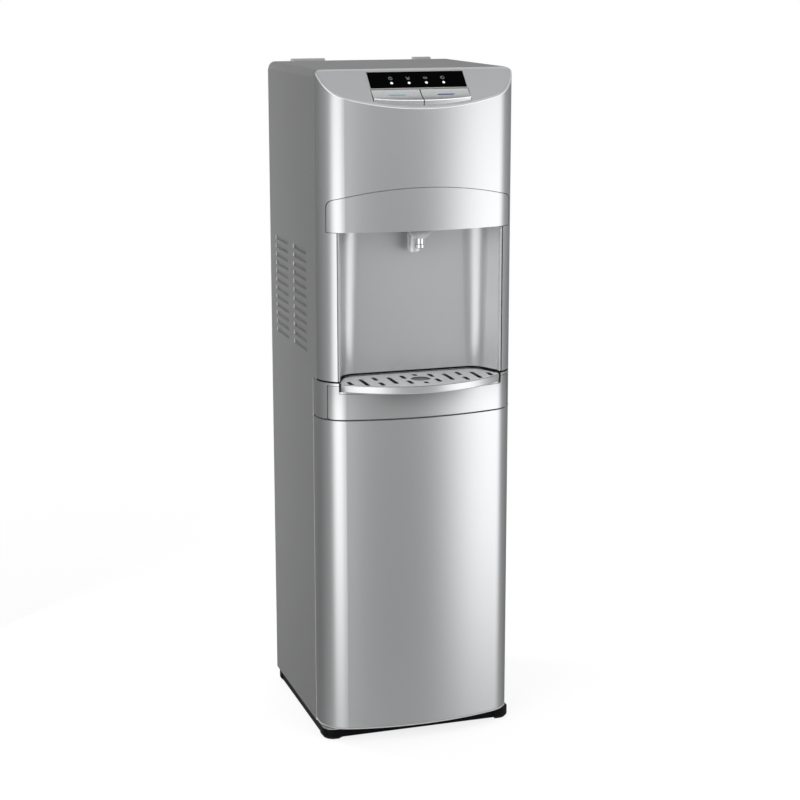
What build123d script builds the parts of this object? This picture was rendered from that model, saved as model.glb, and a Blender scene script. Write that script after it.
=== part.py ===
from build123d import *
from math import atan2, cos, degrees, hypot, radians, sin, sqrt, tan
import os

# Cabinet, in millimetres: +X to the right, the front towards -Y, the floor at Z = 0
BODY_WIDTH = 329.0
BODY_DEPTH = 347.0
BODY_HEIGHT = 1100.0
UPPER_HEIGHT = 490.0
FRONT_RADIUS = 500.0
CORNER_RADIUS = 50.0
TOP_EDGE_RADIUS = 12.0
UPPER_WRAP = 60.0
LOWER_WRAP = 80.0
SHEET = 1.0
WALL = 3.0
SEAM = 0.8
FIT = 0.3
TIGHT = 0.1
FLANGE = 12.0

# Base and feet
BASE_HEIGHT = 17.0
BASE_SETBACK = 28.0
BASE_REAR_INSET = 1.0
BASE_CORNER_RADIUS = 20.0
BASE_BAR = 24.0
BASE_RIBS = 2
BAR_LIFT = 3.0
BAR_INSET = 2.0
FOOT_SIDE = 30.0
FOOT_ROUND = 2.5
PAD_HEIGHT = 2.0
PAD_INSET = 3.0
FLOOR_SHEET = 2.0

# Rear wall and top clips
REAR_RECESS = 33.0
CLIP_HEIGHT = 4.0
CLIP_LEG = 34.0
CLIP_REACH = 14.0
CLIP_THICKNESS = 3.0
LEFT_CLIP_INSET = 39.5
LEFT_CLIP_WIDTH = 57.0
RIGHT_CLIP_INSET = 42.5
RIGHT_CLIP_WIDTH = 30.0
REAR_VENT_LENGTH = 70.0
REAR_VENT_HEIGHT = 5.0
REAR_VENT_PITCH = 14.5
REAR_VENT_ROWS = 8
SCREW_RADIUS = 4.0
SCREW_HEIGHT = 2.0
SCREW_ROWS = 5
GLAND_RADIUS = 9.0
GLAND_INSET = 20.5
GLAND_BORE = 3.6
DRAIN_RADIUS = 10.0

# Condenser behind the rear wall
CONDENSER_DROP = 140.0
CONDENSER_PITCH = 36.0
CONDENSER_RUNS = 16
CONDENSER_HALF = 112.0
CONDENSER_TUBE = 2.5
CONDENSER_WIRE = 0.9
CONDENSER_WIRES = 15
POST_RADIUS = 6.0

# Side louvres, pressed inwards
LOUVRE_LENGTH = 82.0
LOUVRE_HEIGHT = 8.0
LOUVRE_DEPTH = 3.5
LOUVRE_PITCH = 14.5
LOUVRE_ROWS = 12
LOUVRE_RISE = 32.5
LOUVRE_MARGIN = 2.0
LOUVRE_COLUMN_GAP = 33.0
LOUVRE_RAMP = 2.5
LOUVRE_SLIT = 2.0
LOUVRE_SLIT_INSET = 7.0
LOUVRE_DRAFT = 27.0

# Door and its hinge
DOOR_FOOT_GAP = 3.5
DOOR_GAP = 2.5
DOOR_SKIN = 2.0
DOOR_DEPTH = 14.0
DOOR_PLATE = 3.0
HEM_HEIGHT = 2.6
HEM_GAP = 0.5
HINGE_INSET = 8.5
HINGE_SETBACK = 26.0
PIN_RADIUS = 4.0
PIN_CLEARANCE = 0.05
PIN_LENGTH = 12.0
BUSH_WALL = 2.0
BRACKET_THICKNESS = 1.6
BRACKET_WIDTH = 18.0
BRACKET_LENGTH = 46.0
MAGNET_INSET = 64.5
MAGNET_WIDTH = 40.0
MAGNET_HEIGHT = 16.0
MAGNET_DEPTH = 12.0
STRIKE_THICKNESS = 1.2

# Collar above the door, tray bezel and gasket
COLLAR_HEIGHT = 59.0
COLLAR_STRIP = 4.0
COLLAR_PLATE = 3.0
SEAM_INSET = 10.7
BEZEL_ROUND = 4.0
NOTCH_GAP = 3.5
NOTCH_ROUND = 2.5
GASKET_HEIGHT = 3.0
GASKET_RECESS = 1.0

# Drip tray and its grille
LIP_REACH = 31.0
LIP_HEIGHT = 11.8
TRAY_WALL = 2.2
TRAY_CLEARANCE = 0.8
GRILLE_PLATE = 1.2
GRILLE_SKIRT = 2.5
GRILLE_DROP = 1.0
SLOT_WIDTH = 7.4
SLOT_PITCH = 23.8
SLOT_LONG = 51.0
SLOT_SHORT = 25.0
SLOT_STUB = 14.0
SLOT_OFFSET = 19.5
STUB_OFFSET = 30.0
SPILL_RADIUS = 16.0
SPILL_WALL = 1.5
SPILL_LEDGE = 1.0
SIEVE_DROP = 0.6
SIEVE_PLATE = 1.0
SIEVE_HOLE = 1.1
SIEVE_PITCH = 4.4
SIEVE_RINGS = 3
SIEVE_RING_HOLES = 6

# Alcove and apron
PILLAR_WIDTH = 25.0
ALCOVE_HEIGHT = 240.0
ALCOVE_DEPTH = 76.0
ALCOVE_FLARE = 24.0
ALCOVE_ROUND_LOW = 30.0
ALCOVE_ROUND_HIGH = 42.0
LINER_WALL = 2.5
BEAD_WIDTH = 2.6
BEAD_ROUND = 0.8
BEAD_FRONT = 1.0
APRON_DROP = 2.0
APRON_SIDE = 50.0
APRON_RISE = 70.0
APRON_ROUND = 12.0

# Spout and its valves
SPOUT_SETBACK = 28.0
HOOD_RADIUS = 21.0
HOOD_DEPTH = 16.0
HOOD_MOUTH = 9.0
HOOD_BULGE = 1.2
NOZZLE_RADIUS = 6.8
NOZZLE_BORE = 4.5
NOZZLE_LENGTH = 16.0
NOZZLE_COLLAR = 1.0
NOZZLE_COLLAR_HEIGHT = 6.0
GUARD_RADIUS = 14.0
GUARD_WALL = 1.8
GUARD_LENGTH = 43.0
MANIFOLD_WIDTH = 28.0
MANIFOLD_HEIGHT = 18.0
VALVE_BODY = 24.0
VALVE_COIL_RADIUS = 11.0
VALVE_COIL_HEIGHT = 26.0

# Sloped control deck
DECK_ANGLE = 45.0
DECK_PLATE = 4.0
DECK_INSERT = 2.0
DECK_RIM = 3.0
RIM_ROUND = 1.0
DISPLAY_WIDTH = 159.0
DISPLAY_LENGTH = 33.3
DISPLAY_MARGIN = 3.6
DISPLAY_GLASS = 1.2
DISPLAY_FRAME = 1.5
DISPLAY_FRAME_RISE = 0.4
LENS_COUNT = 4
LENS_RADIUS = 2.2
LENS_PITCH = 28.7
LENS_ROW = 10.5
KEYS_WIDTH = 160.0
KEY_SPLIT = 1.6
KEY_GAP = 1.0
KEY_LENGTH = 36.0
KEY_SETBACK = 6.0
KEY_NOSE = 6.6
KEY_DISH = 2.0
KEY_DEPTH = 6.5
KEY_TRAVEL = 2.0
KEY_NOSE_ROUND = 2.4
STRIPE_LENGTH = 27.0
STRIPE_WIDTH = 3.0
STRIPE_DEPTH = 0.8
STRIPE_BACK = 12.0
BOARD_DEPTH = 13.0
BOARD_THICKNESS = 1.6
BOARD_MARGIN = 3.0
BOSS_RADIUS = 3.0
SWITCH_SIDE = 6.0

# Cooling unit, pump and electrics on the compressor deck
DECK_FLANGE = 15.0
GROMMET_RADIUS = 9.0
GROMMET_HEIGHT = 12.0
GROMMET_INSET = 13.5
COMPRESSOR_X = 20.0
COMPRESSOR_REAR_GAP = 34.0
COMPRESSOR_RADIUS = 62.0
COMPRESSOR_HEIGHT = 150.0
COMPRESSOR_DOME = 30.0
COMPRESSOR_FOOT = 3.0
COMPRESSOR_FOOT_LENGTH = 170.0
COMPRESSOR_FOOT_WIDTH = 110.0
RELAY_SIZE = 40.0
RELAY_REACH = 26.0
DRIER_SIDE_GAP = 31.5
DRIER_REAR_GAP = 41.0
DRIER_RADIUS = 9.0
DRIER_PIPE = 3.0
DRIER_STUB = 12.0
DRIER_CONE = 6.0
DRIER_HEIGHT = 100.0
MODULE_SIDE_GAP = 13.5
MODULE_REAR_GAP = 51.0
MODULE_WIDTH = 56.0
MODULE_LENGTH = 90.0
MODULE_HEIGHT = 70.0
PUMP_SIDE_GAP = 26.5
PUMP_FRONT_GAP = 25.0
PUMP_RADIUS = 22.0
PUMP_HEIGHT = 62.0
PUMP_HEAD = 20.0
SPIGOT_RADIUS = 5.0
SPIGOT_LENGTH = 16.0

# Cold tank, its jacket and its shelf
SHELF_RISE = 6.0
TANK_REAR_GAP = 7.0
TANK_RADIUS = 72.0
TANK_HEIGHT = 150.0
TANK_ROUND = 18.0
TANK_LIFT = 30.0
COIL_TUBE = 4.0
COIL_TURNS = 6
COIL_PITCH = 18.0
INSULATION = 26.0

# Bottle probe in the rear corner of the bay
PROBE_SIDE_GAP = 15.5
PROBE_REAR_GAP = 18.0
PROBE_LIFT = 41.0
PROBE_TOP_GAP = 88.0
PROBE_RADIUS = 5.0
PROBE_CAP_RADIUS = 11.0
PROBE_CAP_HEIGHT = 22.0
PROBE_CLIP_WALL = 2.0
PROBE_CLIP_MOUTH = 8.0

# Worked out across: half widths and seams
HALF = BODY_WIDTH / 2
INNER_HALF = HALF - SHEET
CORNER_X = HALF - CORNER_RADIUS
SEAM_X = HALF - SEAM_INSET
PILLAR_X = HALF - PILLAR_WIDTH
ALCOVE_CORNER_X = PILLAR_X - ALCOVE_FLARE
TRAY_GAP = BEAD_WIDTH + TRAY_CLEARANCE

# Worked out from front to rear, with the origin midway between the lip and the rear edge
REAR_Y = (BODY_DEPTH + LIP_REACH) / 2
FRONT_Y = REAR_Y - BODY_DEPTH
LIP_FRONT_Y = FRONT_Y - LIP_REACH
UPPER_SEAM_Y = FRONT_Y + UPPER_WRAP
LOWER_SEAM_Y = FRONT_Y + LOWER_WRAP
DOOR_EDGE_Y = LOWER_SEAM_Y - SEAM
COLLAR_REAR_Y = LOWER_SEAM_Y + SHEET
ALCOVE_BACK_Y = FRONT_Y + ALCOVE_DEPTH
SPOUT_Y = FRONT_Y + SPOUT_SETBACK
REAR_WALL_Y = REAR_Y - REAR_RECESS
BASE_FRONT_Y = FRONT_Y + BASE_SETBACK
BASE_REAR_Y = REAR_Y - BASE_REAR_INSET
ARC_Y = FRONT_Y + FRONT_RADIUS
CORNER_Y = ARC_Y - sqrt((FRONT_RADIUS - CORNER_RADIUS) ** 2 - CORNER_X ** 2)
CORNER_ANGLE = atan2(CORNER_Y - ARC_Y, CORNER_X)
SHELL_REAR_Y = CORNER_Y + CORNER_RADIUS

# Worked out in height: the upper cabinet hangs from the top, and the door takes what is left below it
FLOOR_HIGH = BASE_HEIGHT + FLOOR_SHEET
FASCIA_LOW = BODY_HEIGHT - UPPER_HEIGHT
COLLAR_HIGH = FASCIA_LOW - GASKET_HEIGHT
COLLAR_LOW = COLLAR_HIGH - COLLAR_HEIGHT
DOOR_HIGH = COLLAR_LOW - DOOR_GAP
DOOR_LOW = BASE_HEIGHT + DOOR_FOOT_GAP
DECK_HIGH = COLLAR_LOW + SHEET
TRAY_HIGH = COLLAR_HIGH - GRILLE_DROP - GRILLE_PLATE
TRAY_LOW = TRAY_HIGH - LIP_HEIGHT
ALCOVE_TOP = FASCIA_LOW + ALCOVE_HEIGHT
CEILING_HIGH = ALCOVE_TOP + LINER_WALL
APRON_LOW = ALCOVE_TOP - APRON_DROP
SHELF_LOW = ALCOVE_TOP + SHELF_RISE
TANK_LOW = SHELF_LOW + SHEET + TANK_LIFT
PANEL_TOP = BODY_HEIGHT - TOP_EDGE_RADIUS
BEYOND = 2 * (BODY_WIDTH + BODY_HEIGHT)
ON_TOP = (Align.CENTER, Align.CENTER, Align.MIN)
UPWARDS = (Align.CENTER, Align.MIN)


def block(low, high):
    """Box between two opposite corners."""
    size = [b - a for a, b in zip(low, high)]
    middle = [(a + b) / 2 for a, b in zip(low, high)]
    return Pos(*middle) * Box(*size)


def rod(radius, start, end):
    """Round bar from one point to another."""
    along = Vector(*end) - Vector(*start)
    return extrude(Plane(origin=start, z_dir=along) * Circle(radius), amount=along.length)


def upright_rod(radius, place, low, high):
    """Round bar that stands on a place in plan."""
    return rod(radius, (*place, low), (*place, high))


def upright(plan, low, high):
    """Plan face raised between two heights."""
    return extrude(Pos(0, 0, low) * plan, amount=high - low, dir=(0, 0, 1))


def elevation(face, near_y, far_y):
    """Front-view face, drawn in X and Z, carried from one depth to another."""
    return extrude(Pos(0, near_y, 0) * (Plane.XZ * face), amount=far_y - near_y, dir=(0, 1, 0))


def layer(low, high):
    """Everything between two heights."""
    return block((-BEYOND, -BEYOND, low), (BEYOND, BEYOND, high))


def before(y):
    """Everything in front of a depth."""
    return block((-BEYOND, -BEYOND, -BEYOND), (BEYOND, y, BEYOND))


def both_sides(shape):
    """A shape and its mirror image."""
    return [shape, mirror(shape, Plane.YZ)]


def front_outline(inset, rear_y):
    """Plan of the cabinet: bulged front, rounded corners, closed at rear_y."""
    side = HALF - inset
    corner = CORNER_RADIUS - inset
    bulge = FRONT_RADIUS - inset
    turn = CORNER_ANGLE / 2
    join = (bulge * cos(CORNER_ANGLE), ARC_Y + bulge * sin(CORNER_ANGLE))
    middle = (CORNER_X + corner * cos(turn), CORNER_Y + corner * sin(turn))
    return make_face([
        Line((side, rear_y), (side, CORNER_Y)),
        ThreePointArc((side, CORNER_Y), middle, join),
        ThreePointArc(join, (0, ARC_Y - bulge), (-join[0], join[1])),
        ThreePointArc((-join[0], join[1]), (-middle[0], middle[1]), (-side, CORNER_Y)),
        Line((-side, CORNER_Y), (-side, rear_y)),
        Line((-side, rear_y), (side, rear_y)),
    ])


def column(inset, low, high, rear_y):
    """Solid of the cabinet's plan between two heights."""
    return upright(front_outline(inset, rear_y), low, high)


def skin(outer, inner, low, high, rear_y):
    """Wall that follows the front and its corners, open at the rear."""
    plan = front_outline(outer, rear_y) - front_outline(inner, rear_y + WALL)
    return upright(plan, low, high)


def front_surface_y(x):
    """Depth of the front surface at a distance from the middle."""
    joint_x = FRONT_RADIUS * cos(CORNER_ANGLE)
    if abs(x) < joint_x:
        return ARC_Y - sqrt(FRONT_RADIUS ** 2 - x ** 2)
    return CORNER_Y - sqrt(CORNER_RADIUS ** 2 - (abs(x) - CORNER_X) ** 2)


# Black moulded base: a ring of bars with cross ribs, on four rounded corner feet
def base_plan(inset):
    low_y = BASE_FRONT_Y + inset
    high_y = BASE_REAR_Y - inset
    plan = RectangleRounded(BODY_WIDTH - 2 * inset, high_y - low_y, BASE_CORNER_RADIUS - inset)
    return Pos(0, (low_y + high_y) / 2) * plan


def corner_squares(side):
    """Plan squares at the four corners of the base."""
    x = HALF - side / 2
    ends = [BASE_FRONT_Y + side / 2, BASE_REAR_Y - side / 2]
    return [Pos(sign * x, y) * Rectangle(side, side) for sign in (-1, 1) for y in ends]


def base_frame():
    depth = BASE_REAR_Y - BASE_FRONT_Y
    inside = Rectangle(BODY_WIDTH - 2 * BASE_BAR, depth - 2 * BASE_BAR)
    plan = base_plan(BAR_INSET) - Pos(0, (BASE_FRONT_Y + BASE_REAR_Y) / 2) * inside
    bars = upright(plan, BAR_LIFT, BASE_HEIGHT)
    corners = [base_plan(0) & square for square in corner_squares(FOOT_SIDE)]
    feet = [upright(corner, PAD_HEIGHT, BASE_HEIGHT) for corner in corners]
    feet = [fillet(foot.edges().group_by(Axis.Z)[0], FOOT_ROUND) for foot in feet]
    rows = [BASE_FRONT_Y + depth * (rib + 1) / (BASE_RIBS + 1) for rib in range(BASE_RIBS)]
    rib = Rectangle(BODY_WIDTH - 2 * BASE_BAR, WALL)
    ribs = [upright(Pos(0, y) * rib, BAR_LIFT, BASE_HEIGHT) for y in rows]
    return bars + feet + ribs


def foot_pads():
    squares = corner_squares(FOOT_SIDE - PAD_INSET)
    return [upright(base_plan(PAD_INSET) & square, 0, PAD_HEIGHT) for square in squares]


def bay_floor():
    x, y = hinge_axis()
    sheet = upright(base_plan(SHEET + FIT), BASE_HEIGHT, FLOOR_HIGH) & before(REAR_WALL_Y - FIT)
    notch_x = x - BRACKET_LENGTH + BRACKET_WIDTH / 2 - FIT
    notch = block((notch_x, -BEYOND, 0), (BEYOND, y + BRACKET_WIDTH / 2 + FIT, BODY_HEIGHT))
    return sheet - notch


# Steel side panels with two columns of louvres pressed inwards
def louvre(low_z, middle_y):
    """Hood, pocket and slit of one louvre on the right-hand panel: a ramp up to a hidden slit."""
    high_z = low_z + LOUVRE_HEIGHT
    half = LOUVRE_LENGTH / 2
    floor_half = half - LOUVRE_DEPTH * tan(radians(LOUVRE_DRAFT))
    slit_half = half - LOUVRE_SLIT_INSET
    floor_x = HALF - LOUVRE_DEPTH
    ramp_z = low_z + LOUVRE_RAMP
    hood = Polygon((INNER_HALF, low_z - SHEET), (floor_x - SHEET, ramp_z - SHEET),
                   (floor_x - SHEET, high_z + SHEET), (INNER_HALF, high_z + SHEET), align=None)
    pocket = Polygon((HALF, low_z), (floor_x, ramp_z), (floor_x, high_z), (HALF, high_z), align=None)
    slit = Pos(floor_x - SHEET / 2, high_z - LOUVRE_SLIT) * Rectangle(2 * SHEET, LOUVRE_SLIT, align=UPWARDS)
    plan = Polygon((HALF, -half), (HALF, half), (floor_x, floor_half), (floor_x, -floor_half), align=None)
    drafted = upright(Pos(0, middle_y) * plan, low_z, high_z)
    return (elevation(hood, middle_y - half - SHEET, middle_y + half + SHEET),
            elevation(pocket, middle_y - half, middle_y + half) & drafted,
            elevation(slit, middle_y - slit_half, middle_y + slit_half))


def side_panel():
    lower = block((INNER_HALF, LOWER_SEAM_Y, BASE_HEIGHT), (HALF, REAR_Y, FASCIA_LOW))
    front_edge = lower.edges().filter_by(Axis.Z).group_by(Axis.Y)[0].sort_by(Axis.X)[-1]
    lower = fillet(front_edge, SHEET - TIGHT)
    upper = block((INNER_HALF, UPPER_SEAM_Y, COLLAR_HIGH + SEAM), (HALF, REAR_Y, PANEL_TOP))
    flange = block((INNER_HALF - FLANGE, REAR_Y - SHEET, BASE_HEIGHT), (HALF, REAR_Y, PANEL_TOP))
    rear_column = REAR_WALL_Y - LOUVRE_MARGIN - SHEET - LOUVRE_LENGTH / 2
    columns = (rear_column - LOUVRE_LENGTH - LOUVRE_COLUMN_GAP, rear_column)
    rows = [FASCIA_LOW + LOUVRE_RISE + row * LOUVRE_PITCH for row in range(LOUVRE_ROWS)]
    hoods, pockets, slits = zip(*[louvre(z, y) for z in rows for y in columns])
    return lower + upper + flange + list(hoods) - list(pockets) - list(slits)


# Steel top with rolled side edges, and two flat clips hooked over its rear edge
def top_section(inset):
    """Front view of the cabinet's top with its rounded edges."""
    face = Rectangle(2 * (HALF - inset), 2 * TOP_EDGE_RADIUS - inset, align=(Align.CENTER, Align.MAX))
    face = Pos(0, BODY_HEIGHT - inset) * face
    face = fillet(face.vertices().group_by(Axis.Y)[-1], TOP_EDGE_RADIUS - inset)
    return face & Pos(0, PANEL_TOP) * Rectangle(BODY_WIDTH, TOP_EDGE_RADIUS, align=UPWARDS)


def top_panel():
    rear = REAR_Y - CLIP_THICKNESS
    lid = elevation(top_section(0), UPPER_SEAM_Y, rear)
    return lid - elevation(top_section(SHEET), UPPER_SEAM_Y, rear - SHEET)


def rear_clip(middle_x, width):
    low_x = middle_x - width / 2
    high = (middle_x + width / 2, REAR_Y, BODY_HEIGHT + CLIP_HEIGHT)
    plate = block((low_x, REAR_Y - CLIP_REACH, BODY_HEIGHT), high)
    return plate + block((low_x, REAR_Y - CLIP_THICKNESS, BODY_HEIGHT + CLIP_HEIGHT - CLIP_LEG), high)


# Rear wall: a sheet set in from the rear edge, with vent slots behind the compressor
def rear_wall_top():
    return PANEL_TOP - FIT


def gland_place():
    """Cable entry in front view, beside the condenser and behind the power module."""
    return GLAND_INSET - INNER_HALF, DECK_HIGH + MODULE_HEIGHT / 2


def drain_place():
    """Tank drain in front view, low behind the tank."""
    return 0, TANK_LOW


def through_rear_wall(face):
    return elevation(face, REAR_WALL_Y - SHEET, REAR_WALL_Y + 2 * SHEET)


def rear_panel():
    half = INNER_HALF - FIT
    sheet = block((-half, REAR_WALL_Y, FLOOR_HIGH), (half, REAR_WALL_Y + SHEET, rear_wall_top()))
    flange = block((half - SHEET, REAR_WALL_Y, FLOOR_HIGH), (half, REAR_WALL_Y + FLANGE, rear_wall_top()))
    first = DECK_HIGH + GROMMET_HEIGHT + REAR_VENT_PITCH
    rows = [first + row * REAR_VENT_PITCH for row in range(REAR_VENT_ROWS)]
    vent = SlotOverall(REAR_VENT_LENGTH, REAR_VENT_HEIGHT)
    holes = [Pos(sign * REAR_VENT_LENGTH, z) * vent for z in rows for sign in (-1, 1)]
    holes += [Pos(*gland_place()) * Circle(GLAND_RADIUS), Pos(*drain_place()) * Circle(DRAIN_RADIUS)]
    return sheet + both_sides(flange) - [through_rear_wall(hole) for hole in holes]


def cord_gland():
    place = Pos(*gland_place())
    body = elevation(place * Circle(GLAND_RADIUS - FIT), REAR_WALL_Y - WALL, REAR_WALL_Y + 2 * WALL)
    collar = elevation(place * Circle(GLAND_RADIUS + WALL), REAR_WALL_Y + SHEET, REAR_WALL_Y + WALL)
    bore = elevation(place * Circle(GLAND_BORE), REAR_WALL_Y - 2 * WALL, REAR_WALL_Y + 3 * WALL)
    return body + collar - bore


def drain_plug():
    place = Pos(*drain_place())
    face_y = REAR_WALL_Y + SHEET
    stem = elevation(place * Circle(DRAIN_RADIUS - FIT), REAR_WALL_Y - TANK_REAR_GAP, face_y)
    cap = elevation(place * RegularPolygon(DRAIN_RADIUS + WALL, 6), face_y, face_y + 2 * WALL)
    return stem + cap


def rear_screws():
    """Pan-head screws along the two sides of the rear wall."""
    low = BASE_HEIGHT + FLANGE
    high = rear_wall_top() - FLANGE
    rows = [low + (high - low) * row / (SCREW_ROWS - 1) for row in range(SCREW_ROWS)]
    x = INNER_HALF - 2 * FLANGE
    face_y = REAR_WALL_Y + SHEET
    spots = [Pos(sign * x, z) for z in rows for sign in (-1, 1)]
    return [elevation(spot * Circle(SCREW_RADIUS), face_y, face_y + SCREW_HEIGHT) for spot in spots]


# Condenser: one serpentine tube between two layers of upright wires
def condenser_y():
    return (REAR_WALL_Y + REAR_Y) / 2


def condenser_rows():
    """Heights of the tube's straight runs."""
    high = BODY_HEIGHT - CONDENSER_DROP
    return [high - run * CONDENSER_PITCH for run in reversed(range(CONDENSER_RUNS))]


def condenser_coil():
    y = condenser_y()
    bend = CONDENSER_PITCH / 2
    rows = condenser_rows()
    edges = []
    for run, z in enumerate(rows):
        end = CONDENSER_HALF if run % 2 == 0 else -CONDENSER_HALF
        edges.append(Line((-end, y, z), (end, y, z)))
        if z < rows[-1]:
            outer = end + bend if end > 0 else end - bend
            edges.append(ThreePointArc((end, y, z), (outer, y, z + bend), (end, y, z + 2 * bend)))
    start = Plane(origin=(-CONDENSER_HALF, y, rows[0]), z_dir=(1, 0, 0))
    return sweep(start * Circle(CONDENSER_TUBE), path=Wire(edges))


def condenser_wires():
    offset = CONDENSER_TUBE + CONDENSER_WIRE + TIGHT
    low = condenser_rows()[0] - WALL
    high = condenser_rows()[-1] + WALL
    step = 2 * CONDENSER_HALF / (CONDENSER_WIRES - 1)
    across = [-CONDENSER_HALF + wire * step for wire in range(CONDENSER_WIRES)]
    places = [(x, condenser_y() + side * offset) for x in across for side in (-1, 1)]
    return [upright_rod(CONDENSER_WIRE, place, low, high) for place in places]


def condenser_posts():
    """Four posts that hold the outer runs off the rear wall."""
    x = CONDENSER_HALF - CONDENSER_HALF / (CONDENSER_WIRES - 1)
    near = REAR_WALL_Y + SHEET
    far = condenser_y() - CONDENSER_TUBE - TIGHT
    rows = (condenser_rows()[1], condenser_rows()[-2])
    return [rod(POST_RADIUS, (sign * x, near, z), (sign * x, far, z)) for sign in (-1, 1) for z in rows]


# Collar over the door: corner pieces that show, and the shelf that the tray slides on
def bezel_face(clearance):
    """Front view of the tray bezel with its rounded lower corners."""
    high = COLLAR_HIGH - COLLAR_STRIP - clearance
    face = Pos(0, COLLAR_LOW) * Rectangle(2 * (SEAM_X - clearance), high - COLLAR_LOW, align=UPWARDS)
    return fillet(face.vertices().group_by(Axis.Y)[0], BEZEL_ROUND)


def tray_way(clearance):
    """Passage of the tray through the front, open at the top."""
    low = TRAY_LOW - clearance
    half = alcove_points(0)[0]
    face = Pos(0, low) * Rectangle(2 * half, FASCIA_LOW - low, align=UPWARDS)
    face = fillet(face.vertices().group_by(Axis.Y)[0], NOTCH_ROUND)
    return elevation(face, -BEYOND, ALCOVE_BACK_Y)


def lower_collar():
    outer = skin(0, WALL, COLLAR_LOW, COLLAR_HIGH, DOOR_EDGE_Y)
    window = elevation(bezel_face(0), -BEYOND, DOOR_EDGE_Y)
    square_low = layer(COLLAR_LOW - WALL, COLLAR_LOW + BEZEL_ROUND) & block(
        (-SEAM_X, -BEYOND, 0), (SEAM_X, DOOR_EDGE_Y, BODY_HEIGHT))
    inner = skin(WALL, 2 * WALL, COLLAR_LOW, COLLAR_HIGH, DOOR_EDGE_Y)
    behind = column(WALL + FIT, COLLAR_LOW, COLLAR_HIGH, COLLAR_REAR_Y)
    seat = TRAY_LOW - FIT
    levels = [(COLLAR_LOW, COLLAR_LOW + COLLAR_PLATE), (seat - COLLAR_PLATE, seat),
              (COLLAR_HIGH - COLLAR_PLATE, COLLAR_HIGH)]
    plates = [behind & layer(low, high) for low, high in levels]
    back = behind - before(COLLAR_REAR_Y - WALL)
    tray_space = upright(tray_plan(-TRAY_GAP / 2), seat, FASCIA_LOW)
    return (outer - window - square_low) + inner + plates + back - tray_way(FIT) - tray_space


def tray_bezel():
    wall = skin(0, WALL - FIT, COLLAR_LOW, COLLAR_HIGH, DOOR_EDGE_Y)
    return (wall & elevation(bezel_face(SEAM), -BEYOND, DOOR_EDGE_Y)) - tray_way(NOTCH_GAP)


def joint_gasket():
    """Black strip in the joint between the lower cabinet and the upper fascia."""
    pillars = skin(GASKET_RECESS, WALL, COLLAR_HIGH, FASCIA_LOW, SHELL_REAR_Y)
    pillars = pillars & before(UPPER_SEAM_Y - FIT)
    pillars = pillars - block((-PILLAR_X, -BEYOND, 0), (PILLAR_X, BEYOND, BODY_HEIGHT))
    ring = alcove_face(ALCOVE_ROUND_LOW, LINER_WALL) - alcove_face(ALCOVE_ROUND_LOW, 0)
    return [*pillars.solids(), upright(ring, COLLAR_HIGH, FASCIA_LOW)]


# Drip tray: a shallow pan with a bowed polished lip, under a slotted grille
def tray_plan(shrink):
    """Plan of the tray: bowed front, flared sides that follow the alcove, rounded back."""
    half, corner_x, back_y = alcove_points(-TRAY_GAP - shrink)
    shoulder_y = front_surface_y(half)
    face = make_face([
        ThreePointArc((-half, shoulder_y), (0, LIP_FRONT_Y + shrink), (half, shoulder_y)),
        Line((half, shoulder_y), (half, liner_front_y())),
        Line((half, liner_front_y()), (corner_x, back_y)),
        Line((corner_x, back_y), (-corner_x, back_y)),
        Line((-corner_x, back_y), (-half, liner_front_y())),
        Line((-half, liner_front_y()), (-half, shoulder_y)),
    ])
    return fillet(face.vertices().group_by(Axis.Y)[-1], ALCOVE_ROUND_LOW - TRAY_GAP - shrink)


def drip_tray():
    pan = upright(tray_plan(0), TRAY_LOW, TRAY_HIGH)
    return pan - upright(tray_plan(TRAY_WALL), TRAY_LOW + TRAY_WALL, TRAY_HIGH + WALL)


def spill_place():
    """Middle of the grille in plan."""
    return 0, (LIP_FRONT_Y + ALCOVE_BACK_Y) / 2


def slot(x, y, length):
    return Pos(x, y) * SlotOverall(length, SLOT_WIDTH, rotation=90)


def grille_slots():
    """Slots in columns: long ones, pairs of short ones, and stubs beside the spill hole."""
    middle_y = spill_place()[1]
    slots = [slot(0, middle_y + side * STUB_OFFSET, SLOT_STUB) for side in (-1, 1)]
    for sign in (-1, 1):
        slots += [slot(sign * SLOT_PITCH * rank, middle_y, SLOT_LONG) for rank in (2, 4)]
        slots += [slot(sign * SLOT_PITCH * rank, middle_y + side * SLOT_OFFSET, SLOT_SHORT)
                  for rank in (1, 3) for side in (-1, 1)]
        slots.append(slot(sign * SLOT_PITCH * 5, middle_y, SLOT_SHORT))
    return slots


def sieve_low():
    return TRAY_HIGH - SIEVE_DROP - SIEVE_PLATE


def drip_grille():
    high = TRAY_HIGH + GRILLE_PLATE
    plate = upright(tray_plan(FIT), TRAY_HIGH, high)
    rim = tray_plan(TRAY_WALL + FIT) - tray_plan(2 * TRAY_WALL + FIT)
    skirt = upright(rim, TRAY_HIGH - GRILLE_SKIRT, TRAY_HIGH)
    low = sieve_low() - SPILL_LEDGE
    cup = upright_rod(SPILL_RADIUS + SPILL_WALL, spill_place(), low, high)
    bore = upright_rod(SPILL_RADIUS, spill_place(), sieve_low(), high + FIT)
    mouth = upright_rod(SPILL_RADIUS - SPILL_WALL, spill_place(), low, high)
    holes = [upright(hole, TRAY_LOW, high + FIT) for hole in grille_slots()]
    return plate + skirt - holes + cup - bore - mouth


def spill_sieve():
    """Perforated disc on the ledge of the spill hole, with rings of small holes."""
    disc = Circle(SPILL_RADIUS - FIT) - Circle(SIEVE_HOLE)
    for ring in range(1, SIEVE_RINGS + 1):
        places = PolarLocations(ring * SIEVE_PITCH, ring * SIEVE_RING_HOLES)
        disc = disc - [place * Circle(SIEVE_HOLE) for place in places]
    return upright(Pos(*spill_place()) * disc, sieve_low(), sieve_low() + SIEVE_PLATE)


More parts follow.
